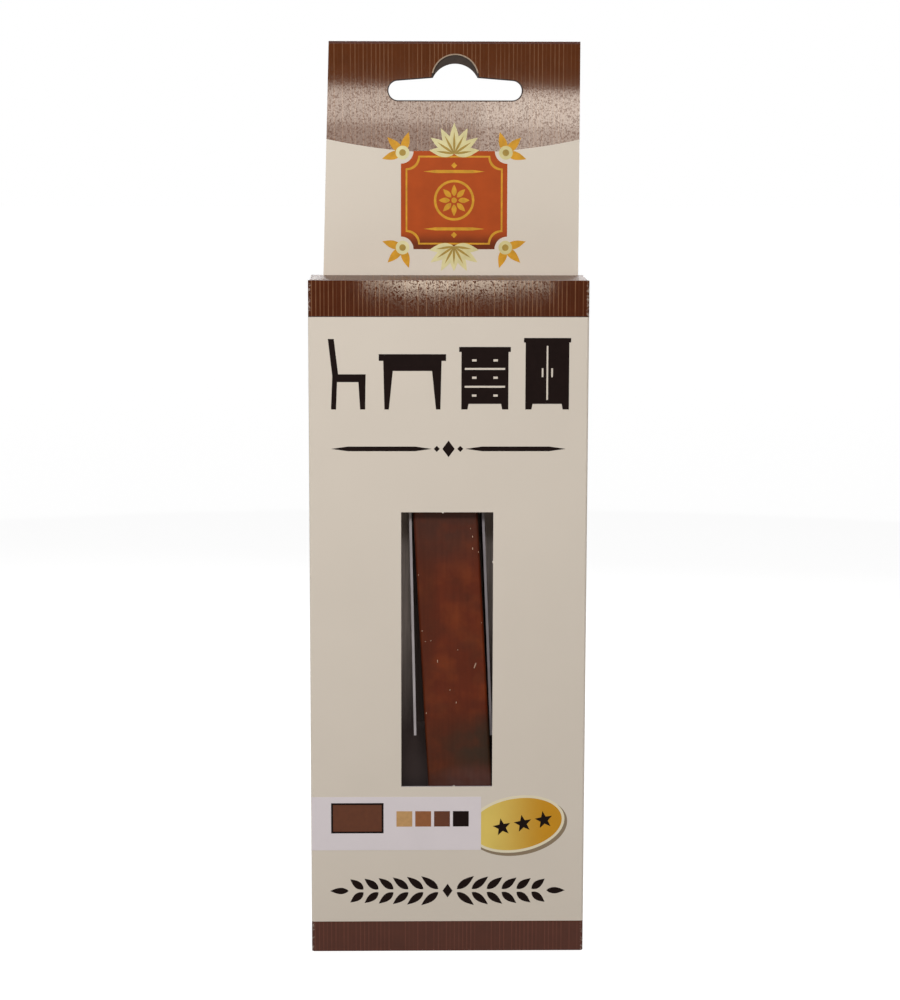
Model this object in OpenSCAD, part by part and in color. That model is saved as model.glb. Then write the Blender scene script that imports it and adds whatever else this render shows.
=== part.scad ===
// Windowed hanging carton of folded board, holding a furniture repair wax stick.
// X runs across the front, Y from the front to the back, and Z up.
// The origin is the middle of the carton's base, where it stands.

/* [Carton] */
// Width of the carton across its front
carton_w = 50; // [48:1:60]
// Depth of the carton from front to back
carton_d = 16; // [16:0.5:22]
// Height of the carton without its hang tab
carton_h = 123.6; // [110:0.2:150]
// Thickness of the folded board
board = 0.45; // [0.35:0.05:0.5]
// Width of the glue flap inside the right side panel
glue_flap_w = 11; // [8:0.5:13]
// Height left free above and below the glue flap
glue_flap_end = 3; // [2:0.5:6]
// Fall of the glue flap's slanted ends
glue_flap_slant = 2.5; // [1:0.5:4]

/* [Window] */
// Width of the window in the front panel
window_w = 16.6; // [13:0.2:20]
// Height of the window
window_h = 50.8; // [40:0.2:56]
// Height of the window's lower edge above the base
window_base = 31.2; // [30:0.2:36]
// How far the window's middle lies right of the carton's middle
window_shift = -0.2; // [-2:0.1:2]

/* [Hang tab] */
// Height of the hang tab above the carton
tab_h = 42.2; // [36:0.2:50]
// Inset of the tab's left edge from the carton's side, at its foot
tab_left_inset = 2.3; // [1:0.1:4]
// Inset of the tab's right edge from the carton's side
tab_right_inset = 1; // [0.5:0.1:4]
// How far the tab's left edge leans in at its top
tab_taper = 1.15; // [0:0.05:2]
// Length of the hang slot from end to end
slot_l = 24.2; // [20:0.2:30]
// Height of the hang slot
slot_h = 4; // [3.4:0.1:5]
// Drop from the tab's top to the slot's upper edge
slot_drop = 6.55; // [6:0.05:10]
// How far the slot's middle lies right of the carton's middle
slot_shift = 1.35; // [-1:0.05:2]
// Radius of the round bump above the slot, for a single hook
bump_r = 4.3; // [3:0.1:5]
// How much lower the bump is cut in the rear ply
rear_bump_drop = 1.5; // [0.2:0.1:2]

/* [Closures] */
// Length of each tuck flap, from its crease to its free edge
tuck_l = 6.5; // [5:0.25:6.5]
// Gap on each side of a tuck flap
tuck_side_clear = 0.9; // [0.5:0.1:2]
// Radius of a tuck flap's free corners
tuck_corner_r = 3; // [1:0.25:4]
// Slit between the front panel and each closure
closure_slit = 0.4; // [0.4:0.05:0.8]
// Inset of a closure panel from the carton's side
closure_side_inset = 0.25; // [0.1:0.05:0.5]
// Reach of each dust flap in from its side panel
dust_reach = 12.5; // [9:0.5:12.5]
// Setback of each dust flap behind the tuck flap
dust_setback = 2.2; // [2.2:0.1:3.5]
// Relief of each dust flap beside the closure's hinge crease
dust_relief = 0.8; // [0.8:0.1:1.5]
// Run of a dust flap's slanted edge, as a share of its reach
dust_slant_share = 0.4; // [0.4:0.05:0.5]

/* [Wax stick] */
// Width of the wax stick
stick_w = 11.8; // [10:0.1:12.2]
// Depth of the wax stick
stick_d = 11.8; // [10:0.1:12.2]
// Length of the wax stick
stick_l = 82; // [70:1:84]
// Radius of the stick's long edges
stick_corner_r = 0.9; // [0.4:0.1:1.6]
// Sideways lean of the stick, in degrees, with its top to the left
stick_lean = 3.19; // [2.6:0.01:3.6]
// Where the middle of the stick's foot stands, right of the carton's middle
stick_foot_x = 4; // [3:0.1:4.5]
// Gap under the lowest corner of the stick's foot
stick_foot_clear = 0.05; // [0.02:0.01:0.2]
// Gap between the stick and the base of the channel
stick_rear_clear = 0.25; // [0.1:0.05:0.4]

/* [Inner channel] */
// Thickness of the channel's board
channel_board = 0.45; // [0.35:0.05:0.5]
// Length of the channel
channel_l = 46; // [36:0.5:50]
// Height of the channel's lower end above the base
channel_base = 39.8; // [35:0.2:44]
// Depth of the channel from the back panel to its front edges
channel_depth = 11.4; // [9:0.1:12]
// Lean of the channel's left wall, in degrees
channel_left_lean = 1.26; // [0.8:0.01:1.8]
// Lean of the channel's right wall, in degrees
channel_right_lean = 2.32; // [1.8:0.01:2.6]
// Gap between the stick and each wall where they come nearest
channel_clear = 0.08; // [0.04:0.01:0.2]

/* [Shade label] */
// Width of the shade label
label_w = 31; // [24:0.5:40]
// Height of the shade label
label_h = 10.05; // [8:0.05:11]
// Thickness of the shade label
label_t = 0.08; // [0.05:0.01:0.2]
// Height of the label's lower edge above the base
label_base = 19.25; // [12:0.25:20]
// Inset of the label from the carton's left edge
label_inset = 0.1; // [0:0.05:1]

/* [Hidden] */
$fn = 64;
// One overrun serves every cut
over = 1;

// Planes of the carton's walls
front_y = -carton_d / 2;
back_y = carton_d / 2;
side_x = carton_w / 2;
front_inner_y = front_y + board;
back_inner_y = back_y - board;
side_inner_x = side_x - board;

// Hinge creases of the closures: the top one folds from the tab's front ply
top_hinge_y = back_inner_y - board;
bottom_hinge_y = back_inner_y;
closure_front_y = front_inner_y + closure_slit;
closure_w = carton_w - 2 * closure_side_inset;
tuck_w = 2 * (side_inner_x - tuck_side_clear);
dust_front_y = closure_front_y + board + dust_setback;
dust_slant = dust_slant_share * dust_reach;

// Hang tab
tab_top = carton_h + tab_h;
tab_left_x = tab_left_inset - side_x;
tab_right_x = side_x - tab_right_inset;
ply_top = tab_top - board;
slot_top = tab_top - slot_drop;
slot_mid = slot_top - slot_h / 2;

// Wax stick, and the channel's walls that follow its sides
stick_half_run = stick_w / 2 / cos(stick_lean);
stick_y = back_inner_y - channel_board - stick_rear_clear - stick_d / 2;
stick_foot_z = board + stick_foot_clear + stick_w / 2 * sin(stick_lean);
channel_top = channel_base + channel_l;
channel_front_y = back_inner_y - channel_depth;
left_wall_top_x = stick_side(channel_top, -1) - channel_clear;
left_wall_base_x = left_wall_top_x + channel_l * tan(channel_left_lean);
right_wall_base_x = stick_side(channel_base, 1) + channel_clear;
right_wall_top_x = right_wall_base_x - channel_l * tan(channel_right_lean);

// Where a side of the leaning stick lies at a height: side is -1 for its left, 1 for its right
function stick_side(z, side) =
    stick_foot_x - (z - stick_foot_z) * tan(stick_lean) + side * stick_half_run;

// Extrudes an outline drawn across the front (X, Z) from y to y + depth
module facing(y, depth) {
    translate([0, y + depth, 0]) rotate([90, 0, 0]) linear_extrude(depth) children();
}

// Outline of the hang slot, with a bump that starts this far under the slot's upper edge
module slot_outline(bump_fall) {
    translate([slot_shift, slot_mid]) {
        square([slot_l - slot_h, slot_h], center = true);
        for (side = [-1, 1])
            translate([side * (slot_l - slot_h) / 2, 0]) circle(r = slot_h / 2);
        intersection() {
            translate([0, slot_h / 2 - bump_fall]) circle(r = bump_r);
            translate([-bump_r, 0]) square([2 * bump_r, slot_h + bump_r]);
        }
    }
}

// Outline of one ply of the hang tab, whose left edge leans in
module tab_outline(left_x) {
    polygon([
        [left_x, carton_h], [tab_right_x, carton_h],
        [tab_right_x, ply_top], [left_x + tab_taper, ply_top]
    ]);
}

// Outline of a rectangle with rounded corners, centred
module rounded_outline(w, d, r) {
    square([w - 2 * r, d], center = true);
    square([w, d - 2 * r], center = true);
    for (x = [-1, 1], y = [-1, 1])
        translate([x * (w / 2 - r), y * (d / 2 - r)]) circle(r = r);
}

// Outline of a tuck flap that hangs from its crease at the origin
module tuck_outline() {
    square_l = tuck_l - tuck_corner_r;
    translate([-tuck_w / 2, -square_l]) square([tuck_w, square_l]);
    translate([tuck_corner_r - tuck_w / 2, -tuck_l]) square([tuck_w - 2 * tuck_corner_r, tuck_l]);
    for (side = [-1, 1])
        translate([side * (tuck_w / 2 - tuck_corner_r), -square_l]) circle(r = tuck_corner_r);
}

// A dust flap on the right, lying from z up: its rear edge slants away from the closure's hinge
module dust_flap(z, hinge_y) {
    tip_x = side_inner_x - dust_reach;
    root_back_y = hinge_y - dust_relief;
    translate([0, 0, z]) linear_extrude(board) polygon([
        [side_inner_x, dust_front_y], [side_inner_x, root_back_y],
        [tip_x, root_back_y - dust_slant], [tip_x, dust_front_y]
    ]);
}

// A closure panel, lying from z up
module closure_panel(z, hinge_y) {
    translate([-closure_w / 2, closure_front_y, z])
        cube([closure_w, hinge_y - closure_front_y, board]);
}

// A side panel on the right
module side_panel() {
    translate([side_inner_x, front_inner_y, board])
        cube([board, back_inner_y - front_inner_y, carton_h - 2 * board]);
}

module front_panel() {
    color("#d0c5b3") facing(front_y, board) difference() {
        translate([-side_x, 0]) square([carton_w, carton_h]);
        translate([window_shift - window_w / 2, window_base]) square([window_w, window_h]);
    }
}

// The back panel runs on upwards as the rear ply of the hang tab
module back_panel() {
    color("#cbbfad") facing(back_inner_y, board) difference() {
        union() {
            translate([-side_x, 0]) square([carton_w, carton_h]);
            tab_outline(tab_left_x);
        }
        slot_outline(rear_bump_drop);
    }
}

module left_side_panel() {
    color("#c8bcaa") mirror([1, 0, 0]) side_panel();
}

module right_side_panel() {
    color("#c8bcaa") side_panel();
}

// Folded from the back panel's right edge and glued inside the right side panel
module glue_flap() {
    low = glue_flap_end;
    high = carton_h - glue_flap_end;
    color("#b7b2b4") translate([side_inner_x - board, 0, 0]) rotate([90, 0, 90])
        linear_extrude(board) polygon([
            [back_inner_y, low], [back_inner_y, high],
            [back_inner_y - glue_flap_w, high - glue_flap_slant],
            [back_inner_y - glue_flap_w, low + glue_flap_slant]
        ]);
}

// The front ply is folded down over the rear ply, with a half-round fold along the top
module hang_tab_front_ply() {
    fold_left_x = tab_left_x + tab_taper;
    color("#d4c9b8") {
        facing(back_inner_y - board, board) difference() {
            tab_outline(tab_left_x);
            slot_outline(0);
        }
        intersection() {
            translate([fold_left_x, back_inner_y, ply_top]) rotate([0, 90, 0])
                cylinder(h = tab_right_x - fold_left_x, r = board);
            translate([-side_x, back_inner_y - board, ply_top])
                cube([carton_w, 2 * board, board + over]);
        }
    }
}

module top_closure() {
    color("#6b4a3a") closure_panel(carton_h - board, top_hinge_y);
}

module top_tuck_flap() {
    color("#b3adad") facing(closure_front_y, board) translate([0, carton_h - board]) tuck_outline();
}

module top_dust_flap_right() {
    color("#c8bcaa") dust_flap(carton_h - 2 * board, top_hinge_y);
}

module top_dust_flap_left() {
    color("#c8bcaa") mirror([1, 0, 0]) dust_flap(carton_h - 2 * board, top_hinge_y);
}

module bottom_closure() {
    color("#5c3d33") closure_panel(0, bottom_hinge_y);
}

module bottom_tuck_flap() {
    color("#b3adad") facing(closure_front_y, board) translate([0, board]) mirror([0, 1]) tuck_outline();
}

module bottom_dust_flap_right() {
    color("#c8bcaa") dust_flap(board, bottom_hinge_y);
}

module bottom_dust_flap_left() {
    color("#c8bcaa") mirror([1, 0, 0]) dust_flap(board, bottom_hinge_y);
}

// A folded board channel glued inside the back panel. Its walls reach forwards beside the stick
module inner_channel() {
    base_y = back_inner_y - channel_board;
    color("#b7b2b4") {
        facing(base_y, channel_board) polygon([
            [left_wall_base_x - channel_board, channel_base],
            [right_wall_base_x + channel_board, channel_base],
            [right_wall_top_x + channel_board, channel_top],
            [left_wall_top_x - channel_board, channel_top]
        ]);
        facing(channel_front_y, base_y - channel_front_y) polygon([
            [left_wall_base_x - channel_board, channel_base], [left_wall_base_x, channel_base],
            [left_wall_top_x, channel_top], [left_wall_top_x - channel_board, channel_top]
        ]);
        facing(channel_front_y, base_y - channel_front_y) polygon([
            [right_wall_base_x, channel_base], [right_wall_base_x + channel_board, channel_base],
            [right_wall_top_x + channel_board, channel_top], [right_wall_top_x, channel_top]
        ]);
    }
}

module wax_stick() {
    color("#5e2f20") translate([stick_foot_x, stick_y, stick_foot_z]) rotate([0, -stick_lean, 0])
        linear_extrude(stick_l) rounded_outline(stick_w, stick_d, stick_corner_r);
}

module shade_label() {
    color("#cfc8cf") facing(front_y - label_t, label_t)
        translate([label_inset - side_x, label_base]) square([label_w, label_h]);
}

front_panel();
back_panel();
left_side_panel();
right_side_panel();
glue_flap();
hang_tab_front_ply();
top_closure();
top_tuck_flap();
top_dust_flap_left();
top_dust_flap_right();
bottom_closure();
bottom_tuck_flap();
bottom_dust_flap_left();
bottom_dust_flap_right();
inner_channel();
wax_stick();
shade_label();
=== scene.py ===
"""Dresses a windowed hanging carton of folded board and the square wax stick that leans inside it.

X runs across the front, Y from the front to the back and Z up, as in the frame. Meshes are modelled
in millimetres and brought to metres when a piece is finished.
"""

import logging
import math
from dataclasses import dataclass, field
from enum import Enum
from itertools import product
from typing import Callable

import bmesh
import bpy
from mathutils import Matrix, Vector, noise


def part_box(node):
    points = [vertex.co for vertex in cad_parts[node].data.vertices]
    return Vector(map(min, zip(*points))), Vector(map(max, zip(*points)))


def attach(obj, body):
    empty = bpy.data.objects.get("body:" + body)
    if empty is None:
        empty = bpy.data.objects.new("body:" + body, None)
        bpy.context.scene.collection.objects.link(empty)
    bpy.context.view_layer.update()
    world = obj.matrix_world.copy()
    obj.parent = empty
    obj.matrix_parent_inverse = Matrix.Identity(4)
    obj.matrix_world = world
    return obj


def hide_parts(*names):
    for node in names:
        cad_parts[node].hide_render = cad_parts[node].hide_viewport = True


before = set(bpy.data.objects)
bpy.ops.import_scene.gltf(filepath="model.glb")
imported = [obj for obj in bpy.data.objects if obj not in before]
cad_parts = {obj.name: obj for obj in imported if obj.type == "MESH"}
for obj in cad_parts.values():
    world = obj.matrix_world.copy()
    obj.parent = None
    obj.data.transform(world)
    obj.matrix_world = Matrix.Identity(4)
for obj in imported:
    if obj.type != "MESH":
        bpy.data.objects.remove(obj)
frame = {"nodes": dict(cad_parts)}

MM = 0.001
# How near an edge or a face counts as on it, in millimetres
EPS = 0.01
# How square to an axis a normal has to be to count as facing along it, and how far outwards it has
# to lean to count as printed, as on a rounded crease
SQUARE = 0.5
LEANING = 0.05
# How near a cutting plane a corner is left uncut, and how near each other two corners become one
SNAP = 1e-5
WELD = 1e-4
# Outer radius of the board's creases
FOLD_RADIUS = 0.42
# The bounds between which noise mostly lies
NOISE_BOUNDS = (0.25, 0.75)
log = logging.getLogger("carton")

Point = tuple[float, float]
Triple = tuple[float, float, float]
# Two bounds of a value, and what a mask gives at each
Span = tuple[float, float, float, float]
Outline = list[Point]
Mesh = bmesh.types.BMesh
Tree = bpy.types.NodeTree
Node = bpy.types.Node
Socket = bpy.types.NodeSocket


def linear(colour: str) -> tuple[float, float, float, float]:
    """Turns an sRGB hex colour to linear.

    Args:
        colour: The colour as #RRGGBB.

    Returns:
        Red, green, blue and an alpha of 1, in linear light.
    """
    parts = [int(colour[i:i + 2], 16) / 255 for i in (1, 3, 5)]
    red, green, blue = [p / 12.92 if p <= 0.04045 else ((p + 0.055) / 1.055) ** 2.4 for p in parts]
    return red, green, blue, 1.0


def add(tree: Tree, kind: str, inputs: dict | tuple = (), **settings) -> Node:
    """Adds a node with its settings, values and links.

    Args:
        tree: The node tree that takes it.
        kind: The node's type, without its ShaderNode prefix.
        inputs: What each input takes, by its name or number or else in order: a value, the socket
            that feeds it, or a node whose first socket does.
        **settings: The node's own properties.

    Returns:
        The new node.
    """
    node = tree.nodes.new("ShaderNode" + kind)
    for name, value in settings.items():
        setattr(node, name, value)
    for key, value in inputs.items() if isinstance(inputs, dict) else enumerate(inputs):
        feed = value.outputs[0] if isinstance(value, Node) else value
        if isinstance(feed, Socket):
            tree.links.new(feed, node.inputs[key])
        else:
            node.inputs[key].default_value = feed
    return node


@dataclass(frozen=True)
class Finish:
    """A surface finish, whose pattern sizes are real ones in millimetres."""

    name: str
    colour: str = "#808080"
    roughness: float = 0.6
    # How much of a bare surface's mirror shine it has, where 0.5 is a common varnish
    shine: float = 0.5
    # Size of the surface's grain, and how deep it is
    grain: float = 0.25
    grain_depth: float = 0.004
    # How far the colour wanders from its mean, and over what distance
    mottle: float = 0.04
    mottle_size: float = 6.0

    def build(self) -> bpy.types.Material:
        """Makes the material, whose nodes read Object coordinates."""
        material = bpy.data.materials.new(self.name)
        material.use_nodes = True
        tree = material.node_tree
        shader = tree.nodes["Principled BSDF"]
        shader.inputs["Roughness"].default_value = self.roughness
        shader.inputs["Specular IOR Level"].default_value = self.shine
        coords = add(tree, "TexCoord").outputs["Object"]
        tree.links.new(self.paint(tree, coords).outputs[0], shader.inputs["Base Color"])
        tree.links.new(self.relief(tree, coords).outputs[0], shader.inputs["Normal"])
        self.tune(tree, shader, coords)
        return material

    def blotches(self, tree: Tree, coords: Socket | Node, size: float, *span: float,
                 detail: float = 2.0) -> Node:
        """Makes noise of one size, spread over a range.

        Args:
            tree: The material's tree.
            coords: Coordinates in metres.
            size: Size of a blotch in millimetres.
            *span: The two bounds of the noise that count, and what it gives at each.
            detail: How many finer layers are added.

        Returns:
            A node that gives the value.
        """
        cloud = add(tree, "TexNoise", {"Vector": coords, "Scale": 1 / (size * MM), "Detail": detail})
        return add(tree, "MapRange", (cloud, *span))

    def vary(self, tree: Tree, colour: Node | Triple, coords: Socket | Node, size: float, swing: float,
             detail: float = 2.0) -> Node:
        """Lightens and darkens a colour in blotches of a size, by a share of it either way."""
        scale = self.blotches(tree, coords, size, *NOISE_BOUNDS, 1 - swing, 1 + swing, detail=detail)
        return add(tree, "VectorMath", {0: colour, "Scale": scale}, operation="SCALE")

    def paint(self, tree: Tree, coords: Socket) -> Node:
        """Makes the finish's colour.

        Args:
            tree: The material's tree.
            coords: Object coordinates in metres.

        Returns:
            A node that gives the colour.
        """
        return self.vary(tree, linear(self.colour)[:3], coords, self.mottle_size, self.mottle)

    def relief(self, tree: Tree, coords: Socket) -> Node:
        """Makes the finish's fine relief.

        Args:
            tree: The material's tree.
            coords: Object coordinates in metres.

        Returns:
            A node that gives the normal.
        """
        height = add(tree, "TexNoise", {"Vector": coords, "Scale": 1 / (self.grain * MM)})
        return add(tree, "Bump", {"Height": height, "Distance": self.grain_depth * MM, "Strength": 1.0})

    def tune(self, tree: Tree, shader: Node, coords: Socket) -> None:
        """Sets what else the finish needs on its shader, which is nothing for a plain one.

        Args:
            tree: The material's tree.
            shader: The material's shader.
            coords: Object coordinates in metres.
        """


class StripeRun(Enum):
    """Which way the pinstripes of a face are counted off."""

    WALL = (1.0, 1.0, 0.0)
    LID = (1.0, 0.0, 0.0)


@dataclass(frozen=True)
class PinstripeInk(Finish):
    """Brown offset ink with fine pale pinstripes, under gloss varnish full of pinholes.

    The varnish mirrors a light sharply, and the pinholes break the shine up into a fine grain.
    """

    grain: float = 0.3
    grain_depth: float = 0.0005
    mottle: float = 0.08
    mottle_size: float = 2.5
    run: StripeRun = StripeRun.WALL
    line_colour: str = "#81583E"
    spacing: float = 0.755
    line: float = 0.17
    # Between which shares of its half width a line's edge fades
    line_edge: Point = (1.3, 0.6)
    # How unevenly the lines are spaced, and how fully each one is inked
    stray: float = 0.2
    inking: Span = (0.04, 0.5, 0.1, 1.0)
    # Size of the patches in which the lines are paler, and how pale they get
    patch: float = 2.2
    patchiness: Span = (0.3, 0.6, 0.6, 1.0)
    # The varnish: how much of it there is, how much is left in a pinhole, and a pinhole's size
    varnish: float = 1.0
    pinhole: float = 0.45
    pinhole_size: float = 0.28
    pinhole_edge: Point = (0.5, 0.62)
    varnish_roughness: float = 0.045
    varnish_ior: float = 1.6
    # How a panel bows outwards, as height lost per square metre of distance from its middle
    bow: float = 0.0
    # Where the folds' print is worn: the carton's half width and half depth
    fold: Point = (25.0, 8.0)
    wear_colour: str = "#C9BBAE"
    wear_width: float = 0.3
    wear_fleck: float = 0.5
    wear_edge: Point = (0.5, 0.68)
    wear_strength: float = 0.8

    def paint(self, tree: Tree, coords: Socket) -> Node:
        """Makes the brown, its pinstripes and its worn folds. See Finish.paint."""
        ground = super().paint(tree, coords)
        along = add(tree, "VectorMath", (coords, self.run.value), operation="DOT_PRODUCT")
        count = add(tree, "Math", (along.outputs["Value"], 1 / (self.spacing * MM)),
                    operation="MULTIPLY")
        cells = add(tree, "TexVoronoi", {"W": count, "Scale": 1.0, "Randomness": self.stray},
                    voronoi_dimensions="1D")
        # A line's edge is soft, and each line and each stretch of it is inked more or less fully
        half = self.line / self.spacing / 2
        line = add(tree, "MapRange", (cells, *(half * share for share in self.line_edge)))
        chance = add(tree, "SeparateColor", (cells.outputs["Color"],))
        strength = add(tree, "MapRange", (chance, *self.inking))
        patchy = self.blotches(tree, coords, self.patch, *self.patchiness)
        shown = add(tree, "Math", (line, strength), operation="MULTIPLY")
        shown = add(tree, "Math", (shown, patchy), operation="MULTIPLY")
        striped = add(tree, "MixRGB", (shown, ground, linear(self.line_colour)))
        return add(tree, "MixRGB", (self.wear(tree, coords), striped, linear(self.wear_colour)))

    def relief(self, tree: Tree, coords: Socket) -> Node:
        """Adds the panel's bow to the varnish's fine grain. See Finish.relief."""
        fine = super().relief(tree, coords)
        if not self.bow:
            return fine
        across = add(tree, "SeparateXYZ", (coords,))
        square = add(tree, "Math", (across, across), operation="MULTIPLY")
        return add(tree, "Bump", {"Height": square, "Distance": self.bow, "Strength": 1.0,
                                  "Normal": fine}, invert=True)

    def tune(self, tree: Tree, shader: Node, coords: Socket) -> None:
        """Lays the varnish over the ink, with its pinholes. See Finish.tune."""
        if not self.varnish:
            return
        coat = self.blotches(tree, coords, self.pinhole_size, *self.pinhole_edge, self.varnish,
                             self.pinhole)
        tree.links.new(coat.outputs[0], shader.inputs["Coat Weight"])
        tree.links.new(shader.inputs["Normal"].links[0].from_socket, shader.inputs["Coat Normal"])
        shader.inputs["Coat Roughness"].default_value = self.varnish_roughness
        shader.inputs["Coat IOR"].default_value = self.varnish_ior

    def wear(self, tree: Tree, coords: Socket) -> Node:
        """Finds where the print has rubbed off along the upright folds.

        Args:
            tree: The material's tree.
            coords: Object coordinates in metres.

        Returns:
            A node that gives a mask from 0 to 1.
        """
        size = add(tree, "VectorMath", (coords,), operation="ABSOLUTE")
        parts = add(tree, "SeparateXYZ", (size,)).outputs
        total = add(tree, "Math", (parts["X"], parts["Y"]))
        reach = sum(self.fold)
        near = add(tree, "MapRange", (total, (reach - 2 * self.wear_width) * MM,
                                      (reach - self.wear_width) * MM))
        flecks = self.blotches(tree, coords, self.wear_fleck, *self.wear_edge, 0.0, self.wear_strength,
                               detail=4)
        return add(tree, "Math", (near, flecks), operation="MULTIPLY")


@dataclass(frozen=True)
class Fibres(Finish):
    """Uncoated board, whose fibres run up and down and show as faint streaks."""

    streak: float = 0.35
    streak_run: float = 9.0
    contrast: float = 0.12
    # Height under which the board is painted darker as shade, or 0 where it is not
    painted_shade_top: float = 0.0
    painted_shade_fade: float = 9.0
    painted_shade_colour: str = "#5E5150"

    def paint(self, tree: Tree, coords: Socket) -> Node:
        """Makes the board's grey with its streaks, and painted shade below a height. See Finish.paint.
        """
        base = super().paint(tree, coords)
        squeeze = (1.0, 1.0, self.streak / self.streak_run)
        drawn = add(tree, "Mapping", {"Vector": coords, "Scale": squeeze})
        streaked = self.vary(tree, base, drawn, self.streak, self.contrast, 3)
        if not self.painted_shade_top:
            return streaked
        # Below the height the board is painted darker, as shade
        height = add(tree, "SeparateXYZ", (coords,)).outputs["Z"]
        shade_share = add(tree, "MapRange", (height, self.painted_shade_top * MM,
                                        (self.painted_shade_top - self.painted_shade_fade) * MM))
        return add(tree, "MixRGB", (shade_share, streaked, linear(self.painted_shade_colour)))


@dataclass(frozen=True)
class GradedInk(Finish):
    """Ink printed in a blend from one colour to another along one axis, a little mottled."""

    far_colour: str = "#C07808"
    axis: str = "X"
    # Where the blend starts and ends, in millimetres
    start: float = 0.0
    end: float = 10.0

    def paint(self, tree: Tree, coords: Socket) -> Node:
        """Makes the blend. See Finish.paint."""
        along = add(tree, "SeparateXYZ", (coords,)).outputs[self.axis]
        share = add(tree, "MapRange", (along, self.start * MM, self.end * MM),
                    interpolation_type="SMOOTHSTEP")
        blend = add(tree, "MixRGB", (share, linear(self.colour), linear(self.far_colour)))
        return self.vary(tree, blend, coords, self.mottle_size, self.mottle)


@dataclass(frozen=True)
class DarkPatch:
    """A soft-edged patch on the wax: its middle, half sizes, tilt in degrees, colour and strength."""

    middle: Point
    half: Point
    tilt: float
    colour: str
    strength: float


@dataclass(frozen=True)
class CastWax(Finish):
    """Hard furniture wax, cast in a bar: a soft shine over blotches of red and dull brown."""

    # The blotches' colours and sizes, and how strong they are. The dull ones lean and are drawn out
    warm_colour: str = "#7A3718"
    warm_size: float = 5.0
    warm_span: Span = (0.45, 0.7, 0.0, 0.75)
    dull_colour: str = "#3F2417"
    dull_size: float = 3.6
    dull_span: Span = (0.5, 0.75, 0.0, 0.35)
    dull_tilt: float = 0.62
    dull_squeeze: float = 0.7
    # Soft darker patches over the wax, the last of them painted shade
    dark_patches: tuple[DarkPatch, ...] = (
        DarkPatch((1.0, 35.0), (16.0, 12.5), 8.0, "#40200F", 0.7),
        DarkPatch((-5.0, 60.0), (4.0, 30.0), -3.2, "#48200F", 0.6),
        DarkPatch((9.0, 39.0), (12.5, 7.2), 16.0, "#36281C", 0.9),
        DarkPatch((6.0, 29.0), (14.0, 6.5), 0.0, "#60423C", 0.9),
        # Painted shade at the top, where the window's upper edge shadows the stick
        DarkPatch((0.0, 84.0), (14.0, 16.0), 0.0, "#44271E", 0.85),
    )
    # Between which shares of its size a patch fades, and the blotches in which it is thinner
    dark_patch_edge: Point = (1.0, 0.35)
    dark_patch_blotch: float = 3.0
    dark_patch_blotchiness: Span = (0.3, 0.55, 0.6, 1.0)
    # Streaks that run up and down, as the wax has flowed
    streak: float = 0.6
    streak_squeeze: float = 0.06
    streak_contrast: float = 0.08
    # Size of its dents, how deep they are, and how much they count
    dent: float = 2.4
    dent_depth: float = 0.05
    dent_strength: float = 0.6

    def paint(self, tree: Tree, coords: Socket) -> Node:
        """Makes the wax's blotches and streaks. See Finish.paint."""
        base = super().paint(tree, coords)
        warm = self.blotches(tree, coords, self.warm_size, *self.warm_span, detail=3)
        blend = add(tree, "MixRGB", (warm, base, linear(self.warm_colour)))
        leaning = add(tree, "Mapping", {"Vector": coords, "Rotation": (0.0, self.dull_tilt, 0.0),
                                        "Scale": (self.dull_squeeze, 1.0, 1.0)})
        dull = self.blotches(tree, leaning, self.dull_size, *self.dull_span, detail=3)
        blend = add(tree, "MixRGB", (dull, blend, linear(self.dull_colour)))
        for dark_patch in self.dark_patches:
            mask = self.patch_mask(tree, coords, dark_patch)
            blend = add(tree, "MixRGB", (mask, blend, linear(dark_patch.colour)))
        drawn = add(tree, "Mapping", {"Vector": coords, "Scale": (1.0, 1.0, self.streak_squeeze)})
        return self.vary(tree, blend, drawn, self.streak, self.streak_contrast)

    def patch_mask(self, tree: Tree, coords: Socket, dark_patch: DarkPatch) -> Node:
        """Finds how much of a dark patch lies at each place.

        Args:
            tree: The material's tree.
            coords: Object coordinates in metres.
            dark_patch: The patch.

        Returns:
            A node that gives a mask from 0 to the patch's strength.
        """
        (x, z), (w, h) = dark_patch.middle, dark_patch.half
        local = add(tree, "Mapping", {"Vector": coords, "Location": (x * MM, 0.0, z * MM),
                                      "Rotation": (0.0, math.radians(-dark_patch.tilt), 0.0),
                                      "Scale": (w * MM, 1.0, h * MM)}, vector_type="TEXTURE")
        far = add(tree, "VectorMath", (local,), operation="LENGTH").outputs["Value"]
        near = add(tree, "MapRange", (far, *self.dark_patch_edge, 0.0, dark_patch.strength),
                   interpolation_type="SMOOTHSTEP")
        patchy = self.blotches(tree, coords, self.dark_patch_blotch, *self.dark_patch_blotchiness)
        return add(tree, "Math", (near, patchy), operation="MULTIPLY")

    def relief(self, tree: Tree, coords: Socket) -> Node:
        """Adds soft dents under the fine grain. See Finish.relief."""
        fine = super().relief(tree, coords)
        dents = add(tree, "TexNoise", {"Vector": coords, "Scale": 1 / (self.dent * MM)})
        return add(tree, "Bump", {"Height": dents, "Distance": self.dent_depth * MM,
                                  "Strength": self.dent_strength, "Normal": fine})


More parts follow.
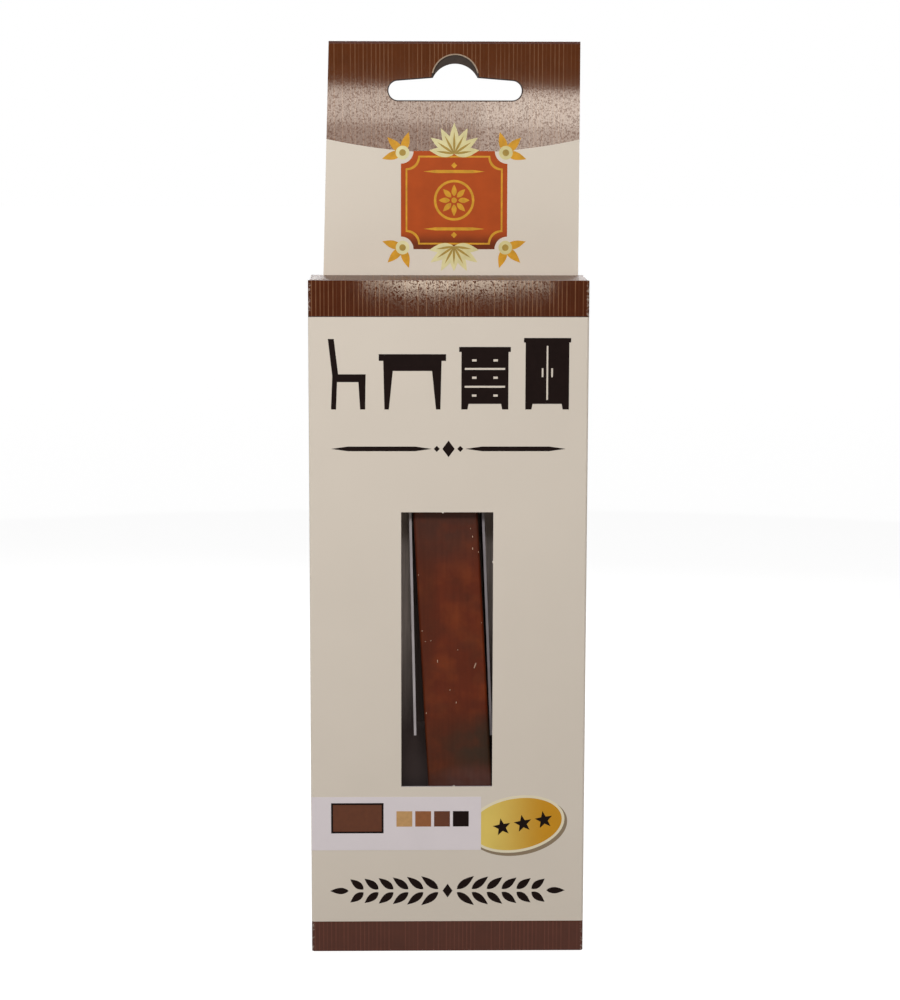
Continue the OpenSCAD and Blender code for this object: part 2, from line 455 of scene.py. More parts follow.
class Skin(Enum):
    """Each finish that a face can take."""

    # Cream ink under matt varnish on folding boxboard: even, with the board's faint cloudiness
    CREAM = Finish("cream_print", "#DBD0C2", 0.62, grain_depth=0.003, mottle=0.015, mottle_size=14)
    # The tab's cream is painted a little lighter than the front's, to make up for the light that it
    # gets less of
    TAB_CREAM = Finish("tab_cream_painted_lighter", "#E2D7C8", 0.62, grain_depth=0.003, mottle=0.015,
                       mottle_size=14)
    # Brown ink under gloss varnish. The front panel bows a little, so its shine keeps to the middle
    BROWN = PinstripeInk("brown_pinstripe_print", "#532917", 0.5, 0.0, bow=0.5,
                         pinhole=0.0, pinhole_size=0.27, varnish_roughness=0.06)
    # The tab lies flat, and has the varnish's usual pinholes
    TAB_BROWN = PinstripeInk("brown_tab_print", "#60331A", 0.5, 0.0)
    # The lid's brown carries no varnish
    LID_BROWN = PinstripeInk("brown_lid_print", "#603C28", 0.45, 0.55, run=StripeRun.LID, varnish=0.0)
    # Near the foot, the shelf has rubbed the varnish dull
    FOOT_BROWN = PinstripeInk("brown_foot_print", "#512A1D", 0.45, 0.25, varnish=0.0,
                              line_colour="#65382A")
    # The dark rule that closes a brown band
    RULE = Finish("dark_rule_ink", "#2E1710", 0.4, mottle=0.1, mottle_size=1.0)
    # Coated board past the print's edge
    BARE = Finish("bare_coated_board", "#DDD9D6", 0.5, mottle=0.02)
    # A dark ring of painted shade along the slot's die-cut edge, and the pale board that the die's
    # crush lays bare
    CRUSHED = Finish("crushed_dark_edge", "#2A1A12", 0.6, 0.3, mottle=0.15, mottle_size=0.5)
    BARED = Finish("crushed_pale_edge", "#A8927C", 0.7, 0.3, mottle=0.2, mottle_size=0.4)
    # The rear ply's front, painted dark as the shade in the gap between the tab's two plies
    PLY_GAP_SHADE = Finish("ply_gap_painted_shade", "#35281F", 0.6, 0.3, mottle=0.25, mottle_size=0.8)
    # The board's uncoated warm grey back, painted darker towards its foot as the shade inside the
    # carton
    REVERSE = Fibres("uncoated_board_back", "#BDB1AC", 0.85, 0.3, 0.3, 0.02, 0.05, contrast=0.25,
                     painted_shade_top=58.0, painted_shade_fade=20.0)
    # The margin of the tab that the print leaves bare
    MARGIN = Finish("bare_print_margin", "#D8D1D1", 0.6, 0.3, mottle=0.03)
    # The channel's inside, painted dark as the shade in its deep narrow gap
    WAXED = Fibres("channel_inside_painted_shade", "#51433F", 0.6, 0.3, 0.3, 0.02, 0.1)
    # Die-cut edge of the board, where its pale middle shows
    CUT = Fibres("die_cut_edge", "#D6CFD0", 0.9, 0.3, 0.15, 0.03, 0.08, streak=0.12, streak_run=0.5)
    # The channel's front cut edges, painted darker than the bare cut edge as shade, the right one much
    # more than the left
    SOILED_CUT = Fibres("soiled_cut_edge", "#BCB5B7", 0.9, 0.3, 0.15, 0.03, 0.12, streak=0.12,
                        streak_run=2.5)
    WAXED_CUT = Fibres("waxed_cut_edge", "#8D878A", 0.9, 0.3, 0.15, 0.03, 0.15, streak=0.12,
                       streak_run=2.5)
    # Hard brown furniture wax with a soft shine
    WAX = CastWax("cast_wax", "#612611", 0.42, 0.14, 0.5, 0.01, 0.12, 3.0)
    # Chalky crumbs of wax that cling to the stick
    CRUMB = Finish("chalky_wax_crumb", "#BE9A82", 0.8, mottle=0.4, mottle_size=4.0)
    # White label paper, faintly blue
    LABEL = Finish("white_label_stock", "#E1D8DB", 0.45, grain=0.4, mottle=0.02)
    # Offset inks, which show the board's cloudiness a little
    INK = Finish("near_black_ink", "#1E1412", 0.6, 0.04, grain_depth=0.002, mottle=0.12,
                 mottle_size=1.2)
    OAK_INK = Finish("light_oak_ink", "#C29763", 0.5, 0.3, mottle=0.1, mottle_size=0.8)
    CHERRY_INK = Finish("cherry_ink", "#925A33", 0.5, 0.3, mottle=0.1, mottle_size=0.8)
    WALNUT_INK = Finish("walnut_ink", "#5E3018", 0.5, 0.3, mottle=0.1, mottle_size=0.8)
    # The plaque's ground is shaded towards its foot
    TERRACOTTA = GradedInk("terracotta_ink", "#72300F", 0.5, 0.12, mottle=0.08, mottle_size=3.0,
                           far_colour="#B64D18", axis="Z", start=128.9, end=132.0)
    # The golds of its leaves, its border and its midribs
    PALE_GOLD = GradedInk("pale_gold_ink", "#E4DBA6", 0.45, 0.3, mottle=0.1, mottle_size=1.4,
                          far_colour="#D8CB8E", start=-9.0, end=12.0)
    DEEP_GOLD = Finish("deep_gold_ink", "#D69A20", 0.45, 0.2, mottle=0.16, mottle_size=1.1)
    RIB_GOLD = Finish("dark_gold_ink", "#A98A35", 0.45, 0.3, mottle=0.16, mottle_size=1.1)
    # The badge's shaded gold, its pale rim and the shade under it
    BADGE = GradedInk("badge_gold_ink", "#E3C765", 0.42, 0.3, mottle=0.03, mottle_size=3.0,
                      far_colour="#C98D10", start=6.0, end=19.0)
    BADGE_RIM = Finish("badge_rim_ink", "#E8DDC0", 0.5, 0.3, mottle=0.03)
    BADGE_SHADE = Finish("badge_shade_ink", "#8C7A62", 0.55, 0.3, mottle=0.05)

    def material(self) -> bpy.types.Material:
        """Gives the finish's one material, made when it is first asked for."""
        return bpy.data.materials.get(self.value.name) or self.value.build()


# Give a face's finish, or tell something of a face, from its middle and its normal
Rule = Callable[[Vector, Vector], Skin]
Test = Callable[[Vector, Vector], bool]


class Plane(Enum):
    """How a flat stretch lies: the axes of its outline, and of its thickness last."""

    FRONT = (0, 2, 1)
    SIDE = (1, 2, 0)
    FLAT = (0, 1, 2)

    def place(self, u: float, v: float, w: float) -> Vector:
        """Turns a point of the outline, at a depth, to a point in space.

        Args:
            u: Its place along the outline's first axis.
            v: Its place along the outline's second axis.
            w: Its depth.

        Returns:
            The point in space.
        """
        point = Vector((0.0, 0.0, 0.0))
        for axis, value in zip(self.value, (u, v, w)):
            point[axis] = value
        return point


def spread(start: float, end: float, steps: int) -> list[float]:
    """Lists numbers evenly from a start to an end, in so many steps, with both ends included."""
    return [start + (end - start) * i / steps for i in range(steps + 1)]


def polar(centre: Point, radius: float, degrees: float) -> Point:
    """Gives the point at a distance and a direction from a centre."""
    angle = math.radians(degrees)
    return centre[0] + radius * math.cos(angle), centre[1] + radius * math.sin(angle)


def arc(centre: Point, radius: float, start: float, end: float, steps: int) -> Outline:
    """Lists points along an arc of so many chords, from one angle to another in degrees."""
    return [polar(centre, radius, degrees) for degrees in spread(start, end, steps)]


def rectangle(low: Point, high: Point) -> Outline:
    """Lists the corners of a rectangle, from its lower left."""
    return [low, (high[0], low[1]), high, (low[0], high[1])]


def flat_stretch(plane: Plane, outline: Outline, near: float, far: float,
                 holes: tuple[Outline, ...] = ()) -> Mesh:
    """Makes a flat stretch from its outline.

    Args:
        plane: How it lies.
        outline: Its corners in order.
        near: Where its thickness starts.
        far: Where its thickness ends.
        holes: Outlines of the holes through it.

    Returns:
        A closed mesh.
    """
    bm = bmesh.new()
    for loop in (outline, *holes):
        ring = [bm.verts.new(plane.place(u, v, near)) for u, v in loop]
        for a, b in zip(ring, ring[1:] + ring[:1]):
            bm.edges.new((a, b))
    bmesh.ops.triangle_fill(bm, use_beauty=True, edges=bm.edges[:])
    made = bmesh.ops.extrude_face_region(bm, geom=bm.faces[:], use_keep_orig=True)
    moved = [g for g in made["geom"] if isinstance(g, bmesh.types.BMVert)]
    bmesh.ops.translate(bm, vec=plane.place(0, 0, far - near), verts=moved)
    bmesh.ops.recalc_face_normals(bm, faces=bm.faces[:])
    return bm


def slab(plane: Plane, low: Vector, high: Vector, holes: tuple[Outline, ...] = ()) -> Mesh:
    """Makes a flat stretch that fills a box, apart from its holes. See flat_stretch."""
    u, v, w = plane.value
    return flat_stretch(plane, rectangle((low[u], low[v]), (high[u], high[v])), low[w], high[w], holes)


def round_edges(bm: Mesh, test: Callable[[Vector], bool], radius: float, segments: int = 6) -> None:
    """Rounds the edges whose middles pass a test."""
    edges = [e for e in bm.edges if test((e.verts[0].co + e.verts[1].co) / 2)]
    bmesh.ops.bevel(bm, geom=edges, offset=radius, offset_type="OFFSET", segments=segments,
                    profile=0.5, affect="EDGES", material=-1, clamp_overlap=True)


def bisect(bm: Mesh, point: Vector | Triple, normal: Vector | Triple, faces: list | None = None,
           **settings) -> None:
    """Cuts faces where a plane crosses them.

    Args:
        bm: The mesh.
        point: A point on the plane.
        normal: The plane's normal.
        faces: The faces to cut, or None for all.
        **settings: Further settings of the cut.
    """
    parts = [*bm.verts, *bm.edges, *bm.faces]
    if faces is not None:
        parts = [*dict.fromkeys(p for f in faces for p in [*f.verts, *f.edges]), *faces]
    bmesh.ops.bisect_plane(bm, geom=parts, dist=SNAP, plane_co=point, plane_no=normal, **settings)


def cut(bm: Mesh, axis: int, places: list[float]) -> None:
    """Cuts a mesh's faces where planes square to an axis cross them.

    Args:
        bm: The mesh.
        axis: 0, 1 or 2 for X, Y or Z.
        places: Where each plane crosses the axis.
    """
    normal = Vector([float(i == axis) for i in range(3)])
    for place in places:
        bisect(bm, normal * place, normal)


def link(name: str, data: bpy.types.ID) -> bpy.types.Object:
    """Makes an object and links it to the scene.

    Args:
        name: The object's name.
        data: Its mesh, lamp or camera.

    Returns:
        The object.
    """
    made = bpy.data.objects.new(name, data)
    bpy.context.scene.collection.objects.link(made)
    return made


def mesh_object(name: str, bm: Mesh) -> bpy.types.Object:
    """Turns a mesh to an object in the scene.

    Args:
        name: The object's name.
        bm: The mesh in metres, which is used up.

    Returns:
        The object.
    """
    mesh = bpy.data.meshes.new(name)
    bm.to_mesh(mesh)
    bm.free()
    return link(name, mesh)


def finish_piece(name: str, bm: Mesh, body: str, rule: Rule, nodes: tuple[str, ...] = (),
                 smooth: bool = False) -> None:
    """Turns a mesh in millimetres to a dressed piece that rides on a body.

    Args:
        name: The piece's name.
        bm: The mesh, which is used up.
        body: The body that it rides on.
        rule: Gives the finish of a face from its middle and its normal.
        nodes: The nodes that it replaces.
        smooth: Whether its faces are shaded smooth.
    """
    bm.normal_update()
    skins: list[Skin] = []
    for face in bm.faces:
        skin = rule(face.calc_center_median(), face.normal)
        if skin not in skins:
            skins.append(skin)
        face.material_index = skins.index(skin)
        face.smooth = smooth
    bmesh.ops.scale(bm, vec=(MM, MM, MM), verts=bm.verts)
    piece = mesh_object(name, bm)
    for skin in skins:
        piece.data.materials.append(skin.material())
    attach(piece, body)
    if nodes:
        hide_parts(*nodes)
    log.info("%s: %d faces on %s", name, len(piece.data.polygons), body)


def corners(node: str) -> tuple[Vector, Vector]:
    """Gives a node's lowest and highest corners in millimetres."""
    low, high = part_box(node)
    return low / MM, high / MM


def never(middle: Vector, normal: Vector) -> bool:
    """Passes no face at all."""
    return False


def board_rule(axis: int, out: int, printed: Callable[[Vector], Skin], also: Test = never) -> Rule:
    """Makes the rule of a flat stretch of board: print outside, and a bare back and cut edges.

    Args:
        axis: The axis that its outside faces along: 0, 1 or 2 for X, Y or Z.
        out: Which way along it, 1 or -1.
        printed: Gives the print at a place.
        also: Says which other faces are printed too.

    Returns:
        The rule.
    """
    def rule(middle: Vector, normal: Vector) -> Skin:
        """Tells a face's kind from its normal."""
        facing = normal[axis] * out
        if facing > LEANING or also(middle, normal):
            return printed(middle)
        return Skin.REVERSE if facing < -SQUARE else Skin.CUT

    return rule


@dataclass
class PrintLayout:
    """Where the brown grounds lie on the carton, all the way round it."""

    foot_band_top: float = 5.68
    head_band_base: float = 117.1
    rule: float = 0.16
    # The tab's brown ground ends in a shallow arc
    arc_middle: float = 1.0
    arc_low: float = 145.8
    arc_radius: float = 108.6
    arc_steps: int = 20
    tab_base: float = 123.6
    # How far the print bleeds over a crease, on to a flap
    bleed: float = 2.0

    def arc_height(self, x: float) -> float:
        """Gives the height of the arc's edge at a place across the tab."""
        drop = math.sqrt(self.arc_radius ** 2 - (x - self.arc_middle) ** 2)
        return self.arc_low + self.arc_radius - drop

    def cut_bands(self, bm: Mesh) -> None:
        """Cuts a wall's faces along the bands' edges and the rule."""
        cut(bm, 2, [self.foot_band_top, self.head_band_base, self.head_band_base + self.rule])

    def cut_arc(self, bm: Mesh, low_x: float, high_x: float) -> None:
        """Cuts a ply of the tab along the arc, a chord at a time.

        Args:
            bm: The ply's mesh.
            low_x: Its left edge.
            high_x: Its right edge.
        """
        places = spread(low_x, high_x, self.arc_steps)
        cut(bm, 0, places[1:-1])
        for left, right in zip(places, places[1:]):
            start, end = self.arc_height(left), self.arc_height(right)
            faces = [f for f in bm.faces if left - EPS < f.calc_center_median().x < right + EPS
                     and f.calc_center_median().z > self.tab_base]
            bisect(bm, ((left + right) / 2, 0, (start + end) / 2),
                   Vector((start - end, 0, right - left)).normalized(), faces)

    def wall(self, place: Vector) -> Skin:
        """Gives the print of a wall.

        Args:
            place: A place on the wall.

        Returns:
            The finish of the print there.
        """
        if place.z < self.foot_band_top:
            return Skin.FOOT_BROWN
        if place.z > self.head_band_base + self.rule:
            return Skin.BROWN
        return Skin.RULE if place.z > self.head_band_base else Skin.CREAM

    def tab(self, place: Vector) -> Skin:
        """Gives the print of the tab at a place."""
        return Skin.TAB_BROWN if place.z > self.arc_height(place.x) else Skin.TAB_CREAM


@dataclass
class HangTab:
    """The double-ply hang tab: its slot, its leaning left edge and the fold along its top."""

    layout: PrintLayout
    # How far its left edge leans in, from its foot to the fold
    taper: float = 1.15
    slot_middle: Point = (1.35, 157.25)
    slot_length: float = 24.2
    slot_height: float = 4.0
    # How far the slot's upper edge falls towards either end
    slot_fall: float = 0.5
    # Each ply's bump: its radius, and how far its centre lies under the slot's upper edge
    bump: Point = (4.1, 0.0)
    rear_bump: Point = (4.5, 1.95)
    round_steps: int = 16
    # Width and thickness of the dark rim of painted shade round the slot, and of the pale one over its
    # bump
    dark_rim: Point = (0.21, 0.006)
    pale_rim: Point = (0.22, 0.012)
    # How far the pale rim stays short of the slot's edge at either end, in degrees
    pale_start: float = 12.0
    # The unprinted margin's width at the tab's foot and at the arc
    margin: Point = (0.8, 0.3)
    rim_steps: int = 30
    fold_steps: int = 10

    def slot_outline(self, bump: Point, grow: float = 0.0) -> Outline:
        """Lists the slot's outline, with its bump.

        Args:
            bump: The bump's radius, and how far under the slot's upper edge its centre lies.
            grow: How much larger the outline is on every side.

        Returns:
            The points, anticlockwise from the foot of the right end.
        """
        x, z = self.slot_middle
        edge = z + self.slot_height / 2
        end = (self.slot_height - self.slot_fall) / 2
        reach = self.slot_length / 2 - end
        radius, fall = bump[0] + grow, bump[1]
        lift = math.degrees(math.asin((fall + grow) / radius))
        right = arc((x + reach, z - self.slot_fall / 2), end + grow, -90, 90, self.round_steps)
        middle = arc((x, edge - fall), radius, lift, 180 - lift, 2 * self.round_steps)
        left = arc((x - reach, z - self.slot_fall / 2), end + grow, 90, 270, self.round_steps)
        return right + middle + left

    def rims(self, face: float) -> None:
        """Makes the rims round the slot: a dark one of painted shade, and a pale one where the die has
        crushed the board.

        Args:
            face: Where the front ply's face lies along Y.
        """
        width, thickness = self.dark_rim
        ink = RaisedInk(face, thickness)
        ink.lay(self.slot_outline(self.bump, width), holes=(self.slot_outline(self.bump),))
        ink.finish("slot_rim_painted_shade", Skin.CRUSHED)
        centre = (self.slot_middle[0], self.slot_middle[1] + self.slot_height / 2)
        start, inner = self.pale_start, self.bump[0]
        width, thickness = self.pale_rim
        outline = arc(centre, inner + width, start, 180 - start, self.rim_steps)
        outline += arc(centre, inner, 180 - start, start, self.rim_steps)
        RaisedInk(face, thickness).lay(outline).finish("slot_pale_rim", Skin.BARED)

    def front_ply(self) -> None:
        """Makes the front ply, with the half-round fold over the rear ply's top."""
        low, high = corners("hang_tab_front_ply")
        board = corners("front_panel")[1].y - corners("front_panel")[0].y
        top = high.z - board
        outline = [(low.x, low.z), (high.x, low.z), (high.x, top), (low.x + self.taper, top)]
        bm = flat_stretch(Plane.FRONT, outline, low.y, low.y + board, (self.slot_outline(self.bump),))
        self.layout.cut_arc(bm, low.x, high.x)
        arc_z = self.layout.arc_height(low.x)
        rise = arc_z - low.z
        lean = self.taper * rise / (top - low.z) + self.margin[1] - self.margin[0]
        column = [f for f in bm.faces if f.calc_center_median().x < low.x + self.taper]
        bisect(bm, (low.x + self.margin[0], 0, low.z), Vector((rise, 0, -lean)).normalized(), column)
        self.fold(bm, top, low.y + board)

        def printed(middle: Vector) -> Skin:
            """Prints the front, and leaves the margin bare."""
            edge = low.x + self.margin[0] + lean * (middle.z - low.z) / rise
            bare = middle.x < edge and middle.z < arc_z
            return Skin.MARGIN if bare else self.layout.tab(middle)

        flat = board_rule(1, -1, printed)

        def rule(middle: Vector, normal: Vector) -> Skin:
            """Prints the fold too, where the varnish has cracked dull."""
            folded = middle.z > top - EPS and abs(normal.x) < SQUARE and normal.z > -SQUARE
            return Skin.FOOT_BROWN if folded else flat(middle, normal)

        finish_piece("tab_front_ply", bm, "carton", rule, ("hang_tab_front_ply",))
        self.rims(low.y)

    def fold(self, bm: Mesh, top: float, pivot_y: float) -> None:
        """Turns a ply's top edge over into a half-round fold.

        Args:
            bm: The ply's mesh.
            top: Height of its top edge.
            pivot_y: Where the fold's inner line lies.
        """
        bm.normal_update()
        ends = [f for f in bm.faces if f.normal.z > SQUARE and f.calc_center_median().z > top - EPS]
        parts = dict.fromkeys(p for f in ends for p in [*f.edges, *f.verts])
        bmesh.ops.spin(bm, geom=[*ends, *parts], cent=(0, pivot_y, top), axis=(1, 0, 0),
                       angle=-math.pi, steps=self.fold_steps)
        bmesh.ops.delete(bm, geom=[f for f in ends if f.is_valid], context="FACES_ONLY")
        bmesh.ops.remove_doubles(bm, verts=bm.verts, dist=WELD)
        bmesh.ops.recalc_face_normals(bm, faces=bm.faces[:])


@dataclass
class CartonWalls:
    """The carton's upright walls, folded from one blank, and its glue flap."""

    layout: PrintLayout
    tab: HangTab
    window_low: Point = (-8.5, 31.2)
    window_high: Point = (8.1, 82.0)
    # Nicks that the die left in the window's edge: how deep and half how wide they are, and where
    nick_reach: float = 0.22
    nick_half: float = 0.24
    top_nick_x: float = -1.0
    foot_nick_x: float = 1.1
    right_nick_z: float = 72.9
    # The plain frame printed on the back: its inset, and where each of its lines starts and ends
    frame_inset: float = 3.4
    frame_lines: tuple[Point, ...] = ((0.0, 0.5), (1.0, 1.2))
    glue_slant: float = 2.5

    def window_outline(self) -> Outline:
        """Lists the window's outline, with the small nicks that the die leaves."""
        (left, foot), (right, top) = self.window_low, self.window_high
        half, reach = self.nick_half, self.nick_reach
        return [
            (left, foot), (self.foot_nick_x - half, foot), (self.foot_nick_x, foot + reach),
            (self.foot_nick_x + half, foot), (right, foot), (right, self.right_nick_z - half),
            (right - reach, self.right_nick_z), (right, self.right_nick_z + half), (right, top),
            (self.top_nick_x + half, top), (self.top_nick_x, top - reach),
            (self.top_nick_x - half, top), (left, top),
        ]

    @staticmethod
    def ends(half_width: float) -> Test:
        """Makes the test for a wall's left and right edges, over which the print runs on."""
        return lambda middle, normal: abs(normal.x) > SQUARE and abs(middle.x) > half_width - EPS

    def front(self) -> None:
        """Makes the front panel, whose window shows the wax stick."""
        low, high = corners("front_panel")
        bm = slab(Plane.FRONT, low, high, (self.window_outline(),))
        round_edges(bm, lambda p: abs(p.x) > high.x - EPS and p.y < low.y + EPS, FOLD_RADIUS)
        self.layout.cut_bands(bm)
        rule = board_rule(1, -1, self.layout.wall, self.ends(high.x))
        finish_piece("front_wall", bm, "carton", rule, ("front_panel",))

    def framed(self, place: Vector, half_width: float) -> bool:
        """Tells whether a place on the back lies in a line of its printed frame.

        Args:
            place: The place.
            half_width: Half the back's width.

        Returns:
            Whether it does.
        """
        foot, top = self.layout.foot_band_top, self.layout.head_band_base
        depth = min(half_width - abs(place.x), place.z - foot, top - place.z) - self.frame_inset
        return any(start < depth < end for start, end in self.frame_lines)

    def back(self) -> None:
        """Makes the back panel, which runs on up as the tab's rear ply."""
        low, high = corners("back_panel")
        ply, front = corners("hang_tab_front_ply"), corners("front_panel")
        foot_x = ply[0].x
        head = front[1].z
        outline = [
            (low.x, low.z), (high.x, low.z), (high.x, head), (ply[1].x, head), (ply[1].x, high.z),
            (foot_x + self.tab.taper, high.z), (foot_x, head), (low.x, head),
        ]
        slot = self.tab.slot_outline(self.tab.rear_bump)
        bm = flat_stretch(Plane.FRONT, outline, low.y, high.y, (slot,))
        round_edges(bm, lambda p: p.y > high.y - EPS and p.z < head + EPS
                    and (abs(p.x) > high.x - EPS or p.z < EPS), FOLD_RADIUS)
        self.layout.cut_bands(bm)
        cut(bm, 2, [head])
        self.layout.cut_arc(bm, foot_x, ply[1].x)
        steps = [self.frame_inset + place for line in self.frame_lines for place in line]
        cut(bm, 0, [side * (high.x - step) for side in (-1, 1) for step in steps])
        cut(bm, 2, [self.layout.foot_band_top + step for step in steps])
        cut(bm, 2, [self.layout.head_band_base - step for step in steps])

        def printed(middle: Vector) -> Skin:
            """Prints the tab above the walls, and the frame and the bands below."""
            if middle.z > head:
                return self.layout.tab(middle)
            return Skin.RULE if self.framed(middle, high.x) else self.layout.wall(middle)

        flat = board_rule(1, 1, printed, self.ends(high.x))

        def rule(middle: Vector, normal: Vector) -> Skin:
            """Paints the rear ply's front above the walls dark, as the shade in the gap between the
            tab's plies.
            """
            skin = flat(middle, normal)
            return Skin.PLY_GAP_SHADE if skin is Skin.REVERSE and middle.z > head else skin

        finish_piece("back_wall", bm, "carton", rule, ("back_panel",))

    def sides(self) -> None:
        """Makes the two side panels, with their rounded creases to the dust flaps."""
        for side, node in ((-1, "left_side_panel"), (1, "right_side_panel")):
            low, high = corners(node)
            outer = high.x if side > 0 else low.x
            bm = slab(Plane.SIDE, low, high)
            round_edges(bm, lambda p: abs(p.x - outer) < EPS
                        and (p.z < low.z + EPS or p.z > high.z - EPS), FOLD_RADIUS)
            self.layout.cut_bands(bm)
            rule = board_rule(0, side, self.layout.wall)
            finish_piece(node.replace("_panel", "_wall"), bm, "carton", rule, (node,))

    def glue_flap(self) -> None:
        """Makes the glue flap, which is stuck inside the right side panel and bare on both faces."""
        low, high = corners("glue_flap")
        slant = self.glue_slant
        outline = [(high.y, low.z), (high.y, high.z), (low.y, high.z - slant), (low.y, low.z + slant)]
        bm = flat_stretch(Plane.SIDE, outline, low.x, high.x)
        rule = board_rule(0, 1, lambda middle: Skin.REVERSE)
        finish_piece("seam_flap", bm, "carton", rule, ("glue_flap",))

    def build(self) -> None:
        """Makes every wall."""
        self.front()
        self.back()
        self.sides()
        self.glue_flap()


class End(Enum):
    """The carton's two tucked ends, with the way that faces out of each."""

    TOP = 1
    BOTTOM = -1


@dataclass
class Closure:
    """One tucked end: its panel, its tuck flap and its two dust flaps."""

    end: End
    layout: PrintLayout
    tuck_corner: float = 3.0
    corner_steps: int = 10
    dust_slant: float = 5.0

    def name(self, piece: str) -> str:
        """Names a node or body of this end."""
        return f"{self.end.name.lower()}_{piece}"

    def flap_rule(self, axis: int, out: int, across: int, root: float) -> Rule:
        """Makes the rule of a flap, on to which the print bleeds a little way.

        Args:
            axis: The axis that its outside faces along.
            out: Which way along it.
            across: The axis along which it runs away from its crease.
            root: Where its crease lies on that axis.

        Returns:
            The rule.
        """
        def printed(middle: Vector) -> Skin:
            """Prints what lies within the bleed of the crease."""
            return Skin.LID_BROWN if abs(middle[across] - root) < self.layout.bleed else Skin.BARE

        return board_rule(axis, out, printed)

    def panel(self) -> None:
        """Makes the closure panel, rounded where it folds into its tuck flap."""
        node = self.name("closure")
        low, high = corners(node)
        out = self.end.value
        outer = high.z if out > 0 else low.z
        bm = slab(Plane.FLAT, low, high)
        round_edges(bm, lambda p: p.y < low.y + EPS and abs(p.z - outer) < EPS, FOLD_RADIUS)
        rule = board_rule(2, out, lambda middle: Skin.LID_BROWN,
                          lambda middle, normal: normal.y < -SQUARE)
        finish_piece(self.name("lid_panel"), bm, node, rule, (node,))

    def tuck_flap(self) -> None:
        """Makes the tuck flap, whose free corners are round."""
        node = self.name("tuck_flap")
        low, high = corners(node)
        out = self.end.value
        root, tip = (high.z, low.z) if out > 0 else (low.z, high.z)
        r = self.tuck_corner
        right = arc((high.x - r, tip + out * r), r, 0, -90 * out, self.corner_steps)
        left = arc((low.x + r, tip + out * r), r, -90 * out, -180 * out, self.corner_steps)
        bm = flat_stretch(Plane.FRONT, [(high.x, root), *right, *left, (low.x, root)], low.y, high.y)
        cut(bm, 2, [root - out * self.layout.bleed])
        rule = self.flap_rule(1, -1, 2, root)
        finish_piece(self.name("tuck"), bm, node, rule, (node,))

    def dust_flaps(self) -> None:
        """Makes the two dust flaps, which fold in from the side panels."""
        for side, word in ((-1, "left"), (1, "right")):
            node = self.name(f"dust_flap_{word}")
            low, high = corners(node)
            root, tip = (high.x, low.x) if side > 0 else (low.x, high.x)
            outline = [(root, low.y), (root, high.y), (tip, high.y - self.dust_slant), (tip, low.y)]
            bm = flat_stretch(Plane.FLAT, outline, low.z, high.z)
            cut(bm, 0, [root - side * self.layout.bleed])
            rule = self.flap_rule(2, self.end.value, 0, root)
            finish_piece(self.name(f"dust_{word}"), bm, node, rule, (node,))

    def build(self) -> None:
        """Makes the whole end."""
        self.panel()
        self.tuck_flap()
        self.dust_flaps()


@dataclass
class InnerChannel:
    """The folded board channel that keeps the stick behind the window."""

    board: float = 0.45
    # How far its walls lean to the left, in degrees
    left_lean: float = 1.26
    right_lean: float = 2.32
    # Inner faces of its walls at its lower end
    left_base: float = -5.713
    right_base: float = 7.817

    def build(self) -> None:
        """Makes the channel from its base and its two walls."""
        low, high = corners("inner_channel")
        length = high.z - low.z
        left, right, b = self.left_base, self.right_base, self.board
        left_shift = -length * math.tan(math.radians(self.left_lean))
        right_shift = -length * math.tan(math.radians(self.right_lean))
        section = [
            (left - b, low.y), (left, low.y), (left, high.y - b), (right, high.y - b),
            (right, low.y), (right + b, low.y), (right + b, high.y), (left - b, high.y),
        ]
        bm = flat_stretch(Plane.FLAT, section, low.z, high.z)
        for v in bm.verts:
            if v.co.z > high.z - EPS:
                v.co.x += left_shift if v.co.x < (left + right) / 2 else right_shift
        bmesh.ops.recalc_face_normals(bm, faces=bm.faces[:])

        def rule(middle: Vector, normal: Vector) -> Skin:
            """Shows cut edges at both ends, the front ones painted darker as shade, and the inside
            painted dark as shade.
            """
            if abs(normal.z) > SQUARE:
                return Skin.CUT
            if middle.y < low.y + EPS:
                return Skin.SOILED_CUT if middle.x < 0 else Skin.WAXED_CUT
            outer = middle.y > high.y - EPS or middle.x < left + left_shift - EPS or middle.x > right
            left_out = normal.x < -SQUARE and middle.x < 0
            right_out = normal.x > SQUARE and middle.x > 0
            return Skin.REVERSE if outer or left_out or right_out else Skin.WAXED

        finish_piece("stick_channel", bm, "carton", rule, ("inner_channel",))


